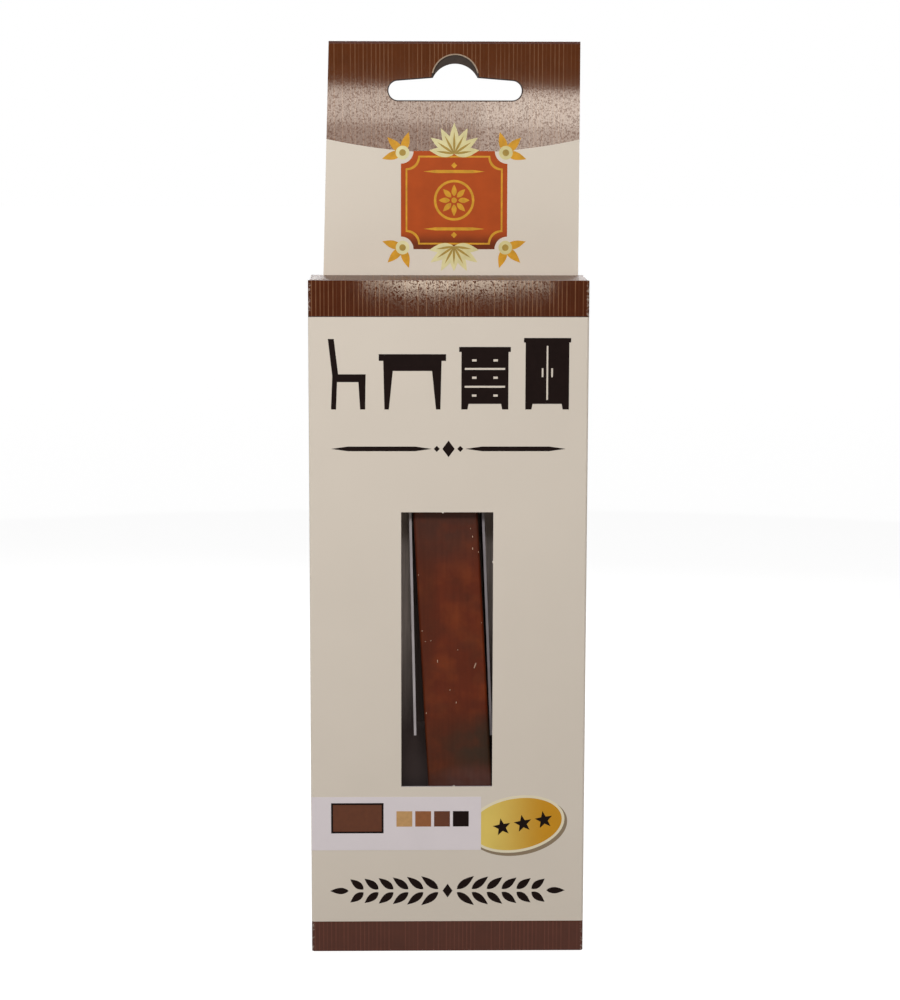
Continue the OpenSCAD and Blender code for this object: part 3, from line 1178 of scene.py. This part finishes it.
@dataclass
class WaxStick:
    """The square cast wax stick, leaning a little to the left."""

    width: float = 11.8
    length: float = 82.0
    # Its upright and its level edges: their radii, and how many faces round each
    corner: float = 0.5
    corner_steps: int = 5
    end_round: float = 0.35
    end_steps: int = 3
    lean: float = 3.19
    # Where the middle of its foot stands
    foot: Triple = (4.0, 0.95, 0.828)
    # Into how many rows and columns its faces are cut, and how far from its ends the rows start
    rows: int = 68
    columns: int = 10
    row_start: float = 1.0
    # How far its faces wander inwards, over which two distances, and the longer one's share
    wander: float = 0.09
    wander_sizes: Point = (9.0, 1.7)
    wander_share: float = 0.75
    # What keeps the two from lining up
    wander_shift: Triple = (9.0, 4.0, 2.0)
    # Crumbs on its front: place across it, height along it, half length and tilt in degrees
    crumbs: tuple[tuple[float, float, float, float], ...] = (
        (-3.9, 57.3, 0.16, 40.0), (-2.9, 53.4, 0.3, -5.0), (3.9, 52.2, 0.6, 23.0),
        (-0.9, 47.9, 0.14, 60.0), (0.1, 45.5, 0.22, 10.0), (-4.9, 57.2, 0.13, 80.0),
        (0.9, 55.3, 0.12, 0.0), (4.4, 77.6, 0.15, 5.0), (4.7, 76.1, 0.2, -8.0),
        (4.6, 73.9, 0.24, 4.0), (-5.5, 69.6, 0.14, 20.0), (5.5, 60.1, 0.13, 0.0),
        (-5.4, 59.2, 0.18, 75.0), (5.6, 73.2, 0.13, 0.0), (-5.5, 43.8, 0.16, 15.0),
    )
    # A crumb's least half width, how much it widens with its half length, its half thickness and
    # how far its middle stands off the front
    crumb_width: float = 0.06
    crumb_share: float = 0.12
    crumb_thickness: float = 0.04
    crumb_stand: float = 0.06

    def bevel(self, bm: Mesh, level: bool, radius: float, segments: int) -> None:
        """Rounds the bar's level edges, or else its upright ones."""
        edges = [e for e in bm.edges if (abs(e.verts[0].co.z - e.verts[1].co.z) < EPS) == level]
        bmesh.ops.bevel(bm, geom=edges, offset=radius, segments=segments, profile=0.5,
                        affect="EDGES", material=-1)

    def build(self) -> None:
        """Makes the bar and its crumbs."""
        half = self.width / 2
        bm = bmesh.new()
        bmesh.ops.create_cube(bm, size=1.0)
        bmesh.ops.scale(bm, vec=(self.width, self.width, self.length), verts=bm.verts)
        bmesh.ops.translate(bm, vec=(0, 0, self.length / 2), verts=bm.verts)
        self.bevel(bm, False, self.corner, self.corner_steps)
        self.bevel(bm, True, self.end_round, self.end_steps)
        cut(bm, 2, spread(self.row_start, self.length - self.row_start, self.rows))
        for axis in (0, 1):
            cut(bm, axis, spread(self.corner - half, half - self.corner, self.columns))
        (far, near), share = self.wander_sizes, self.wander_share
        for v in bm.verts:
            inward = Vector((v.co.x, v.co.y, 0)).normalized()
            slow = noise.noise(v.co / far) * 0.5 + 0.5
            quick = noise.noise(v.co / near + Vector(self.wander_shift)) * 0.5 + 0.5
            v.co -= inward * self.wander * (share * slow + (1 - share) * quick)
        self.add_crumbs(bm, half)
        lean = Matrix.Rotation(math.radians(-self.lean), 4, "Y")
        bmesh.ops.transform(bm, matrix=Matrix.Translation(self.foot) @ lean, verts=bm.verts)
        front = self.foot[1] - half

        def rule(middle: Vector, normal: Vector) -> Skin:
            """Wax all over, apart from the crumbs that stand off its front."""
            return Skin.CRUMB if middle.y < front - EPS else Skin.WAX

        finish_piece("furniture_wax_stick", bm, "wax_stick", rule, ("wax_stick",), smooth=True)

    def add_crumbs(self, bm: Mesh, half: float) -> None:
        """Adds the crumbs, flattened on the stick's front face.

        Args:
            bm: The bar.
            half: Half its width.
        """
        for x, z, reach, tilt in self.crumbs:
            place = Matrix.Translation((x, -half - self.crumb_stand, z))
            turn = Matrix.Rotation(math.radians(tilt), 4, "Y")
            width = self.crumb_width + reach * self.crumb_share
            shape = Matrix.Diagonal((width, self.crumb_thickness, reach, 1.0))
            bmesh.ops.create_icosphere(bm, subdivisions=2, radius=1.0, matrix=place @ turn @ shape)


def star(centre: Point, radius: float, tilt: float, waist: float = 0.42) -> Outline:
    """Lists the outline of a five-pointed star, turned by some degrees."""
    reaches = (radius, radius * waist) * 5
    return [polar(centre, reach, 90 + 36 * i + tilt) for i, reach in enumerate(reaches)]


def leaf(root: Point, length: float, width: float, angle: float, steps: int = 12,
         bulge: float = 0.8) -> Outline:
    """Lists the outline of a pointed leaf.

    Args:
        root: Where its stalk end lies.
        length: Its length.
        width: Its greatest width.
        angle: Which way it points, in degrees from +X.
        steps: How many chords each side has.
        bulge: Where it is widest: under 1 that is nearer its root.

    Returns:
        The points, anticlockwise.
    """
    shares = spread(0, 1, steps)[1:-1]
    upper = [(length * t, width / 2 * math.sin(math.pi * t ** bulge)) for t in shares]
    outline = [(0.0, 0.0)] + [(u, -v) for u, v in upper] + [(length, 0.0)] + upper[::-1]
    cos, sin = polar((0, 0), 1, angle)
    return [(root[0] + u * cos - v * sin, root[1] + u * sin + v * cos) for u, v in outline]


def lozenge(centre: Point, half: Point) -> Outline:
    """Lists the corners of an upright lozenge."""
    (x, z), (w, h) = centre, half
    return [(x - w, z), (x, z - h), (x + w, z), (x, z + h)]


def tapered_rule(start: float, end: float, z: float, half: float, taper: float = 3.0) -> Outline:
    """Lists the corners of a level rule that comes to a point at both ends."""
    return [(start, z), (start + taper, z - half), (end - taper, z - half), (end, z),
            (end - taper, z + half), (start + taper, z + half)]


def disc(centre: Point, radius: float, points: int = 36) -> Outline:
    """Lists points round a circle."""
    return arc(centre, radius, 0, 360 - 360 / points, points - 1)


@dataclass
class RaisedInk:
    """Ink in one colour, raised a little off one face of the carton."""

    # Where the face that carries it lies along Y, and how far it stands off
    face: float
    thickness: float
    # How much further each higher level stands off, so that no two share a face
    step: float = 0.004
    mesh: Mesh = field(default_factory=bmesh.new)

    def lay(self, outline: Outline, level: int = 0, holes: tuple[Outline, ...] = ()) -> "RaisedInk":
        """Lays one shape.

        Args:
            outline: Its outline.
            level: How many steps it stands above the rest.
            holes: Outlines of the holes through it.

        Returns:
            The ink itself.
        """
        near = self.face - self.thickness - level * self.step
        shape = flat_stretch(Plane.FRONT, outline, near, self.face, holes)
        mesh = bpy.data.meshes.new("shape")
        shape.to_mesh(mesh)
        shape.free()
        self.mesh.from_mesh(mesh)
        bpy.data.meshes.remove(mesh)
        return self

    def finish(self, name: str, skin: Skin, slot: str = "printed_board") -> None:
        """Turns the ink to a piece."""
        finish_piece(name, self.mesh, "carton", lambda middle, normal: skin)


@dataclass(frozen=True)
class Silhouette:
    """A piece of furniture in outline, measured from its own lower left."""

    width: float
    outline: tuple[Point, ...]
    holes: tuple[Outline, ...] = ()

    def print(self, ink: RaisedInk, x: float, z: float) -> None:
        """Prints it with its lower left at a place."""
        outline, *holes = [[(x + u, z + v) for u, v in loop] for loop in (self.outline, *self.holes)]
        ink.lay(outline, holes=tuple(holes))


class Furniture(Enum):
    """The plain furniture printed where a title would be."""

    CHAIR = Silhouette(6.8, (
        (0.6, 0), (1.5, 0), (1.7, 4.9), (5.5, 4.9), (5.8, 0), (6.7, 0), (6.8, 6.3), (1.9, 6.3),
        (1.15, 12.6), (0.1, 12.6), (0.85, 6.0),
    ))
    TABLE = Silhouette(12.0, (
        (1.0, 0), (1.8, 0), (2.5, 6.9), (9.5, 6.9), (10.2, 0), (11.0, 0), (11.2, 8.7), (12.0, 8.7),
        (12.0, 9.9), (0, 9.9), (0, 8.7), (0.8, 8.7),
    ))
    CHEST = Silhouette(9.2, (
        (0.4, 0), (1.5, 0), (1.7, 1.0), (7.5, 1.0), (7.7, 0), (8.8, 0), (8.8, 10.3), (9.2, 10.3),
        (9.2, 11.2), (0, 11.2), (0, 10.3), (0.4, 10.3),
    ), (
        *(rectangle((1.0, z), (8.2, z + 0.35)) for z in (3.9, 7.1)),
        *(rectangle((x, z), (x + 0.8, z + 0.4)) for z in (2.3, 5.5, 8.6) for x in (2.3, 6.1)),
    ))
    WARDROBE = Silhouette(8.4, (
        (0.3, 0), (1.4, 0), (1.6, 1.0), (6.8, 1.0), (7.0, 0), (8.1, 0), (8.1, 12.0), (8.4, 12.0),
        (8.4, 12.8), (0, 12.8), (0, 12.0), (0.3, 12.0),
    ), (
        rectangle((4.05, 1.7), (4.35, 11.4)),
        *(rectangle((x, 5.8), (x + 0.3, 7.4)) for x in (3.2, 4.9)),
    ))


@dataclass
class ShadeLabel:
    """The paper label, stuck across the front, with squares of colour in place of words."""

    paper: float = 0.05
    large: tuple[Point, Point] = ((-21.0, 22.8), (-12.1, 27.8))
    frame: float = 0.35
    steps: tuple[Skin, ...] = (Skin.OAK_INK, Skin.CHERRY_INK, Skin.WALNUT_INK, Skin.INK)
    step_start: Point = (-9.4, 23.7)
    step_side: float = 2.9
    step_pitch: float = 3.45
    # How far the frame, the large square and the small ones stand off the paper
    inks: Triple = (0.014, 0.028, 0.02)

    def build(self) -> None:
        """Makes the label and its squares of colour."""
        low, high = corners("shade_label")
        face = high.y - self.paper
        bm = slab(Plane.FRONT, Vector((low.x, face, low.z)), high)
        finish_piece("paper_label", bm, "carton", lambda middle, normal: Skin.LABEL,
                     ("shade_label",))
        (left, foot), (right, top) = self.large
        f, side = self.frame, self.step_side
        framed = rectangle((left - f, foot - f), (right + f, top + f))
        squares = [("shade_frame", Skin.INK, self.inks[0], framed),
                   ("shade_large", Skin.WALNUT_INK, self.inks[1], rectangle(*self.large))]
        x, z = self.step_start
        for i, skin in enumerate(self.steps, 1):
            square = rectangle((x, z), (x + side, z + side))
            squares.append((f"shade_step_{i}", skin, self.inks[2], square))
            x += self.step_pitch
        for name, skin, thickness, outline in squares:
            RaisedInk(face, thickness).lay(outline).finish(name, skin, "label_paper")


@dataclass
class FrontPrint:
    """Raised ink on the front: furniture, rules and a garland in place of words, and the badge."""

    ink: float = 0.02
    row: Triple = (-21.6, 21.8, 100.6)
    rule_z: float = 93.5
    # Where the rules start and end, away from the middle, and how high half of one is
    rule_reach: Point = (3.0, 21.0)
    rule_half: float = 0.42
    small_lozenge: Point = (0.55, 0.55)
    small_lozenge_x: float = 2.1
    rule_lozenge: Point = (1.1, 1.5)
    garland_z: float = 11.5
    garland_lozenge: Point = (0.9, 1.3)
    # Its leaves: where they start, how many pairs there are, how they shrink and how they lean
    leaf_start: float = 1.7
    leaf_pitch: float = 2.75
    leaf_pairs: int = 6
    leaf_size: Point = (4.0, 1.35)
    leaf_shrink: float = 0.18
    leaf_lift: float = 0.3
    leaf_lean: float = 52.0
    tip_leaf: Point = (3.4, 1.2)
    badge_middle: Point = (12.6, 24.1)
    badge_half: Point = (8.9, 5.3)
    badge_tilt: float = 10.0
    # Its layers: name, growth on every side, shift, thickness and skin
    badge_layers: tuple[tuple[str, float, Point, float, Skin], ...] = (
        ("badge_shade", 0.15, (0.35, -0.45), 0.012, Skin.BADGE_SHADE),
        ("badge_rim", 0.0, (0.0, 0.0), 0.026, Skin.BADGE_RIM),
        ("badge_field", -0.5, (0.0, 0.0), 0.04, Skin.BADGE),
    )
    star_ink: float = 0.054
    star_shift: Point = (1.2, 0.1)
    star_pitch: float = 3.9
    star_radius: float = 1.7

    def furniture(self, ink: RaisedInk) -> None:
        """Prints the row of furniture.

        Args:
            ink: The ink that it is printed in.
        """
        x, end, z = self.row
        gap = (end - x - sum(piece.value.width for piece in Furniture)) / (len(Furniture) - 1)
        for piece in Furniture:
            piece.value.print(ink, x, z)
            x += piece.value.width + gap

    def rules(self, ink: RaisedInk) -> None:
        """Prints the pointed rules and their lozenges.

        Args:
            ink: The ink that it is printed in.
        """
        z = self.rule_z
        for way in (1, -1):
            near, far = sorted(way * reach for reach in self.rule_reach)
            ink.lay(tapered_rule(near, far, z, self.rule_half))
            ink.lay(lozenge((way * self.small_lozenge_x, z), self.small_lozenge))
        ink.lay(lozenge((0.0, z), self.rule_lozenge))

    def garland(self, ink: RaisedInk) -> None:
        """Prints the garland of leaves.

        Args:
            ink: The ink that it is printed in.
        """
        z = self.garland_z
        ink.lay(lozenge((0.0, z), self.garland_lozenge))
        for way in (1, -1):
            for i in range(self.leaf_pairs):
                x = way * (self.leaf_start + i * self.leaf_pitch)
                length = self.leaf_size[0] - self.leaf_shrink * i
                for up in (1, -1):
                    angle = up * (90 - way * self.leaf_lean)
                    ink.lay(leaf((x, z + up * self.leaf_lift), length, self.leaf_size[1], angle))
            tip = self.leaf_start + self.leaf_pairs * self.leaf_pitch
            ink.lay(leaf((way * tip, z), *self.tip_leaf, 0 if way > 0 else 180))

    def ellipse(self, grow: float, shift: Point) -> Outline:
        """Lists the badge's outline.

        Args:
            grow: How much larger it is on every side.
            shift: How far it is moved.

        Returns:
            The points of the tilted ellipse.
        """
        cos, sin = polar((0, 0), 1, self.badge_tilt)
        x, z = (place + move for place, move in zip(self.badge_middle, shift))
        wide, tall = (half + grow for half in self.badge_half)
        return [(x + wide * u * cos - tall * v * sin, z + wide * u * sin + tall * v * cos)
                for u, v in disc((0, 0), 1.0, 72)]

    def badge(self, face: float) -> None:
        """Makes the badge, whose left end is under the label.

        Args:
            face: Where the front panel's face lies along Y.
        """
        edge = corners("shade_label")[1].x
        for name, grow, shift, thickness, skin in self.badge_layers:
            layer = RaisedInk(face, thickness).lay(self.ellipse(grow, shift))
            bm = layer.mesh
            bisect(bm, (edge, 0, 0), (-1, 0, 0), clear_outer=True)
            bmesh.ops.holes_fill(bm, edges=[e for e in bm.edges if e.is_boundary], sides=0)
            bmesh.ops.recalc_face_normals(bm, faces=bm.faces[:])
            layer.finish(name, skin)
        stars = RaisedInk(face, self.star_ink)
        middle = (self.badge_middle[0] + self.star_shift[0], self.badge_middle[1] + self.star_shift[1])
        for step in (-1, 0, 1):
            place = polar(middle, step * self.star_pitch, self.badge_tilt)
            stars.lay(star(place, self.star_radius, self.badge_tilt))
        stars.finish("badge_stars", Skin.INK)

    def build(self) -> None:
        """Makes the dark prints and the badge."""
        face = corners("front_panel")[0].y
        for name, draw in (("furniture_row", self.furniture), ("pointed_rules", self.rules),
                           ("leaf_garland", self.garland)):
            ink = RaisedInk(face, self.ink)
            draw(ink)
            ink.finish(name, Skin.INK)
        self.badge(face)


@dataclass
class TabPlaque:
    """A plain plaque on the tab: terracotta with gold leaves and a rosette, in raised ink."""

    # Its middle, its half sizes and the radius of its scooped corners
    middle: Point = (1.2, 137.25)
    half: Point = (9.7, 8.9)
    notch: float = 2.3
    notch_steps: int = 8
    # Its gold border: how wide it is, and how far inside the edge
    border: float = 0.32
    inset: float = 0.85
    # How far the inks stand off. They are thin, and the lower fan is short, so that the opened lid,
    # which comes to 2 degrees from the tab, clears them.
    ground: float = 0.01
    gold: float = 0.014
    pale: float = 0.018
    ribs: float = 0.021
    step: float = 0.001
    # The rosette: its ring's outer and inner radius, its middle, and its leaves' root and size
    ring: Point = (3.7, 3.25)
    eye: float = 0.5
    petals: int = 8
    petal_root: float = 0.75
    petal: Point = (2.1, 0.95)
    # The rule over and under it: its half length, distance, half height and taper
    rule: tuple[float, float, float, float] = (5.6, 5.2, 0.28, 2.2)
    lozenge_z: float = 6.3
    lozenge: Point = (0.55, 0.55)
    # The fans' leaves: how far each is turned, and its length
    fan_sides: tuple[Point, ...] = ((82, 4.6), (-82, 4.6), (56, 5.2), (-56, 5.2))
    upper_tips: tuple[Point, ...] = ((28, 5.2), (-28, 5.2), (0, 5.6))
    lower_tips: tuple[Point, ...] = ((28, 5.05), (-28, 5.05), (0, 4.5))
    fan_inset: float = 0.5
    fan_width: float = 1.75
    # A midrib: its share of the leaf's length, and its width
    rib: Point = (0.72, 0.42)
    # The corners: how far in their studs lie, the studs' radii, and the leaves' turns and size
    corner_inset: float = 0.3
    studs: Point = (1.25, 0.6)
    corner_turns: tuple[float, ...] = (62, -62, 0)
    corner_leaf: Point = (3.9, 1.5)

    def plaque_outline(self, inset: float) -> Outline:
        """Lists the plaque's outline, whose corners are scooped out.

        Args:
            inset: How far inside the plaque's own edge it runs.

        Returns:
            The points, anticlockwise.
        """
        (x, z), (w, h) = self.middle, (self.half[0] - inset, self.half[1] - inset)
        scoops = ((1, -1, 180), (1, 1, 270), (-1, 1, 360), (-1, -1, 90))
        return [point for side, way, start in scoops
                for point in arc((x + side * w, z + way * h), self.notch, start, start - 90,
                                 self.notch_steps)]

    def rosette(self, ink: RaisedInk) -> None:
        """Prints the rosette in its ring, between two pointed rules.

        Args:
            ink: The ink that it is printed in.
        """
        x, z = self.middle
        outer, inner = (disc((x, z), radius) for radius in self.ring)
        ink.lay(outer, holes=(inner,))
        ink.lay(disc((x, z), self.eye))
        for i in range(self.petals):
            angle = 360 * i / self.petals
            ink.lay(leaf(polar((x, z), self.petal_root, angle), *self.petal, angle))
        reach, away, half, taper = self.rule
        for way in (1, -1):
            ink.lay(tapered_rule(x - reach, x + reach, z + way * away, half, taper))
            ink.lay(lozenge((x, z + way * self.lozenge_z), self.lozenge))

    def sprays(self, pale: RaisedInk, ribs: RaisedInk) -> None:
        """Prints the fans of leaves over and under the plaque.

        Args:
            pale: Ink of the leaves.
            ribs: Ink of their midribs.
        """
        (x, z), h = self.middle, self.half[1]
        share, width = self.rib
        for way, tips in ((1, self.upper_tips), (-1, self.lower_tips)):
            root = (x, z + way * (h - self.fan_inset))
            for level, (turn, length) in enumerate(self.fan_sides + tips):
                pale.lay(leaf(root, length, self.fan_width, way * 90 + turn), level)
                ribs.lay(leaf(root, length * share, width, way * 90 + turn), level)

    def corner_leaves(self, pale: RaisedInk, deep: RaisedInk, ribs: RaisedInk) -> None:
        """Prints a stud and three leaves at each corner of the plaque.

        Args:
            pale: Ink of the studs.
            deep: Ink of the leaves.
            ribs: Ink of the studs' middles.
        """
        (x, z), (w, h) = self.middle, (half - self.corner_inset for half in self.half)
        for side, way in product((1, -1), repeat=2):
            spot = (x + side * w, z + way * h)
            outward = math.degrees(math.atan2(way, side))
            for level, turn in enumerate(self.corner_turns):
                deep.lay(leaf(spot, *self.corner_leaf, outward + turn), level)
            for ink, radius in zip((pale, ribs), self.studs):
                ink.lay(disc(spot, radius))

    def build(self) -> None:
        """Makes the plaque, its border, its rosette and its leaves."""
        face = corners("hang_tab_front_ply")[0].y
        ground, deep, pale, ribs = (RaisedInk(face, thickness, self.step)
                                    for thickness in (self.ground, self.gold, self.pale, self.ribs))
        ground.lay(self.plaque_outline(0)).finish("plaque_ground", Skin.TERRACOTTA)
        hole = self.plaque_outline(self.inset + self.border)
        deep.lay(self.plaque_outline(self.inset), holes=(hole,))
        self.rosette(deep)
        self.sprays(pale, ribs)
        self.corner_leaves(pale, deep, ribs)
        deep.finish("plaque_gold", Skin.DEEP_GOLD)
        pale.finish("plaque_leaves", Skin.PALE_GOLD)
        ribs.finish("plaque_ribs", Skin.RIB_GOLD)


# The warm whites of the lamps that the varnish mirrors, on the tab and on the head band
WARM = (1.0, 0.9, 0.78)
WARMER = (1.0, 0.87, 0.69)


@dataclass(frozen=True)
class Softbox:
    """A soft lamp: where it hangs, how large it is in millimetres and how bright its face is."""

    name: str
    place: Triple
    size: Point
    level: float
    colour: Triple = (1.0, 1.0, 1.0)
    # How far its right end is turned up, in degrees
    roll: float = 0.0

    def hang(self, aim: Vector) -> None:
        """Hangs the lamp, out of the camera's sight.

        Args:
            aim: What it faces, in metres.
        """
        data = bpy.data.lights.new(self.name, "AREA")
        data.shape = "RECTANGLE"
        data.size, data.size_y = self.size[0] * MM, self.size[1] * MM
        data.energy = self.level * math.pi * data.size * data.size_y
        data.color = self.colour
        lamp = link(self.name, data)
        lamp.location = Vector(self.place) * MM
        facing = (aim - lamp.location).to_track_quat("-Z", "Y").to_matrix()
        lamp.rotation_euler = (facing @ Matrix.Rotation(math.radians(self.roll), 3, "Z")).to_euler()
        lamp.visible_camera = False


@dataclass
class Studio:
    """A plain pale floor, soft studio light, a dim screen all round, and the camera."""

    # The camera's place, its turns in degrees, and its lens
    camera_place: Triple = (-8.24, -448.0, 151.5)
    camera_pitch: float = 8.69
    camera_yaw: float = 1.11
    camera_roll: float = 0.13
    lens: float = 99.12
    sensor: float = 36.0
    clip_start: float = 10.0
    # How bright the surroundings are as a light, and what the lamps face
    world_level: float = 0.25
    aim: Triple = (0.0, 0.0, 90.0)
    softboxes: tuple[Softbox, ...] = (
        Softbox("long_softbox", (-80.0, -280.0, 225.0), (280.0, 40.0), 17.8),
        Softbox("rear_softbox", (60.0, 300.0, 225.0), (280.0, 40.0), 12.5),
        Softbox("left_softbox", (-330.0, 110.0, 215.0), (200.0, 50.0), 7.0),
        Softbox("right_softbox", (330.0, 110.0, 215.0), (200.0, 50.0), 7.0),
        # The small ones behind the camera give the varnish its shine
        Softbox("tab_softbox", (8.0, -462.0, 145.8), (110.0, 35.6), 4.0, WARM, -1.4),
        Softbox("slim_softbox", (16.0, -462.0, 156.4), (120.0, 12.6), 3.9, WARM, -1.4),
        Softbox("side_softbox", (50.0, -462.0, 148.0), (60.0, 30.0), 2.4, WARM, -1.4),
        Softbox("band_softbox", (-2.0, -462.0, 110.6), (26.0, 39.0), 2.8, WARMER),
        Softbox("broad_softbox", (8.0, -462.0, 110.6), (60.0, 39.0), 4.0, WARMER),
        Softbox("wide_softbox", (13.0, -462.0, 110.6), (98.0, 39.0), 5.1, WARMER),
    )
    floor_half: float = 4000.0
    screen_radius: float = 520.0
    screen_sides: int = 64
    stage_roughness: float = 0.9
    # How much light the screen and the floor give back, and the floor's own glow where it is seen
    screen_grey: float = 0.03
    floor_grey: float = 0.33
    floor_glow: float = 0.86

    def camera(self) -> None:
        """Places the camera at the photograph's viewing angle."""
        data = bpy.data.cameras.new("camera")
        data.sensor_fit = "HORIZONTAL"
        data.sensor_width = self.sensor
        data.lens = self.lens
        data.clip_start = self.clip_start * MM
        camera = link("camera", data)
        turn = (Matrix.Rotation(math.radians(-self.camera_yaw), 4, "Z")
                @ Matrix.Rotation(math.radians(90 - self.camera_pitch), 4, "X")
                @ Matrix.Rotation(math.radians(self.camera_roll), 4, "Z"))
        camera.matrix_world = Matrix.Translation(Vector(self.camera_place) * MM) @ turn
        bpy.context.scene.camera = camera

    @staticmethod
    def seen(tree: Tree) -> Node:
        """Finds the rays that show the background: straight, mirrored or through glass.

        Args:
            tree: The tree of the background's material or of the world.

        Returns:
            A node that gives 1 for such a ray and 0 for any other.
        """
        path = add(tree, "LightPath").outputs
        both = add(tree, "Math", (path["Is Camera Ray"], path["Is Glossy Ray"]))
        return add(tree, "Math", (both, path["Is Transmission Ray"]), use_clamp=True)

    def world(self) -> None:
        """Makes the surroundings white where they are seen, and softer as a light."""
        world = bpy.data.worlds.new("studio")
        world.use_nodes = True
        bpy.context.scene.world = world
        tree = world.node_tree
        level = add(tree, "MapRange", {"Value": self.seen(tree), "To Min": self.world_level})
        tree.links.new(level.outputs[0], tree.nodes["Background"].inputs["Strength"])
        tree.nodes["Background"].inputs["Color"].default_value = (1.0, 1.0, 1.0, 1.0)

    def floor(self) -> None:
        """Lays a pale floor that stays white around the object's soft shadow."""
        bm = bmesh.new()
        bmesh.ops.create_grid(bm, x_segments=1, y_segments=1, size=self.floor_half * MM)
        tree, shader = self.matt(mesh_object("floor", bm), self.floor_grey)
        strength = add(tree, "Math", (self.seen(tree), self.floor_glow), operation="MULTIPLY")
        both = add(tree, "AddShader", (shader, add(tree, "Emission", {"Strength": strength})))
        tree.links.new(both.outputs[0], tree.nodes["Material Output"].inputs["Surface"])

    def screen(self) -> None:
        """Stands a dim round screen behind the lamps, for the varnish to mirror from any side."""
        bm = bmesh.new()
        radius = self.screen_radius * MM
        bmesh.ops.create_cone(bm, cap_ends=False, segments=self.screen_sides, radius1=radius,
                              radius2=radius, depth=radius,
                              matrix=Matrix.Translation((0.0, 0.0, radius / 2)))
        screen = mesh_object("dim_screen", bm)
        self.matt(screen, self.screen_grey)
        screen.visible_camera = False
        screen.visible_diffuse = False
        screen.visible_shadow = False

    def matt(self, piece: bpy.types.Object, grey: float) -> tuple[Tree, Node]:
        """Makes an object a piece of the stage, in a matt grey.

        Args:
            piece: The object.
            grey: How much light it gives back.

        Returns:
            The material's tree and its shader.
        """
        material = bpy.data.materials.new(f"matt_{piece.name}")
        material.use_nodes = True
        tree = material.node_tree
        shader = tree.nodes["Principled BSDF"]
        shader.inputs["Base Color"].default_value = (grey, grey, grey, 1.0)
        shader.inputs["Roughness"].default_value = self.stage_roughness
        piece.data.materials.append(material)
        return tree, shader

    def build(self) -> None:
        """Sets up everything around the object."""
        bpy.context.scene.view_settings.view_transform = "Standard"
        self.camera()
        for softbox in self.softboxes:
            softbox.hang(Vector(self.aim) * MM)
        self.world()
        self.floor()
        self.screen()


def main() -> None:
    """Builds the carton, its stick and its surroundings."""
    logging.basicConfig(level=logging.INFO, format="%(name)s: %(message)s")
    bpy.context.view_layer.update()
    layout = PrintLayout()
    tab = HangTab(layout)
    CartonWalls(layout, tab).build()
    tab.front_ply()
    for end in End:
        Closure(end, layout).build()
    for part in (InnerChannel, WaxStick, ShadeLabel, FrontPrint, TabPlaque, Studio):
        part().build()


if __name__ == "__main__":
    main()
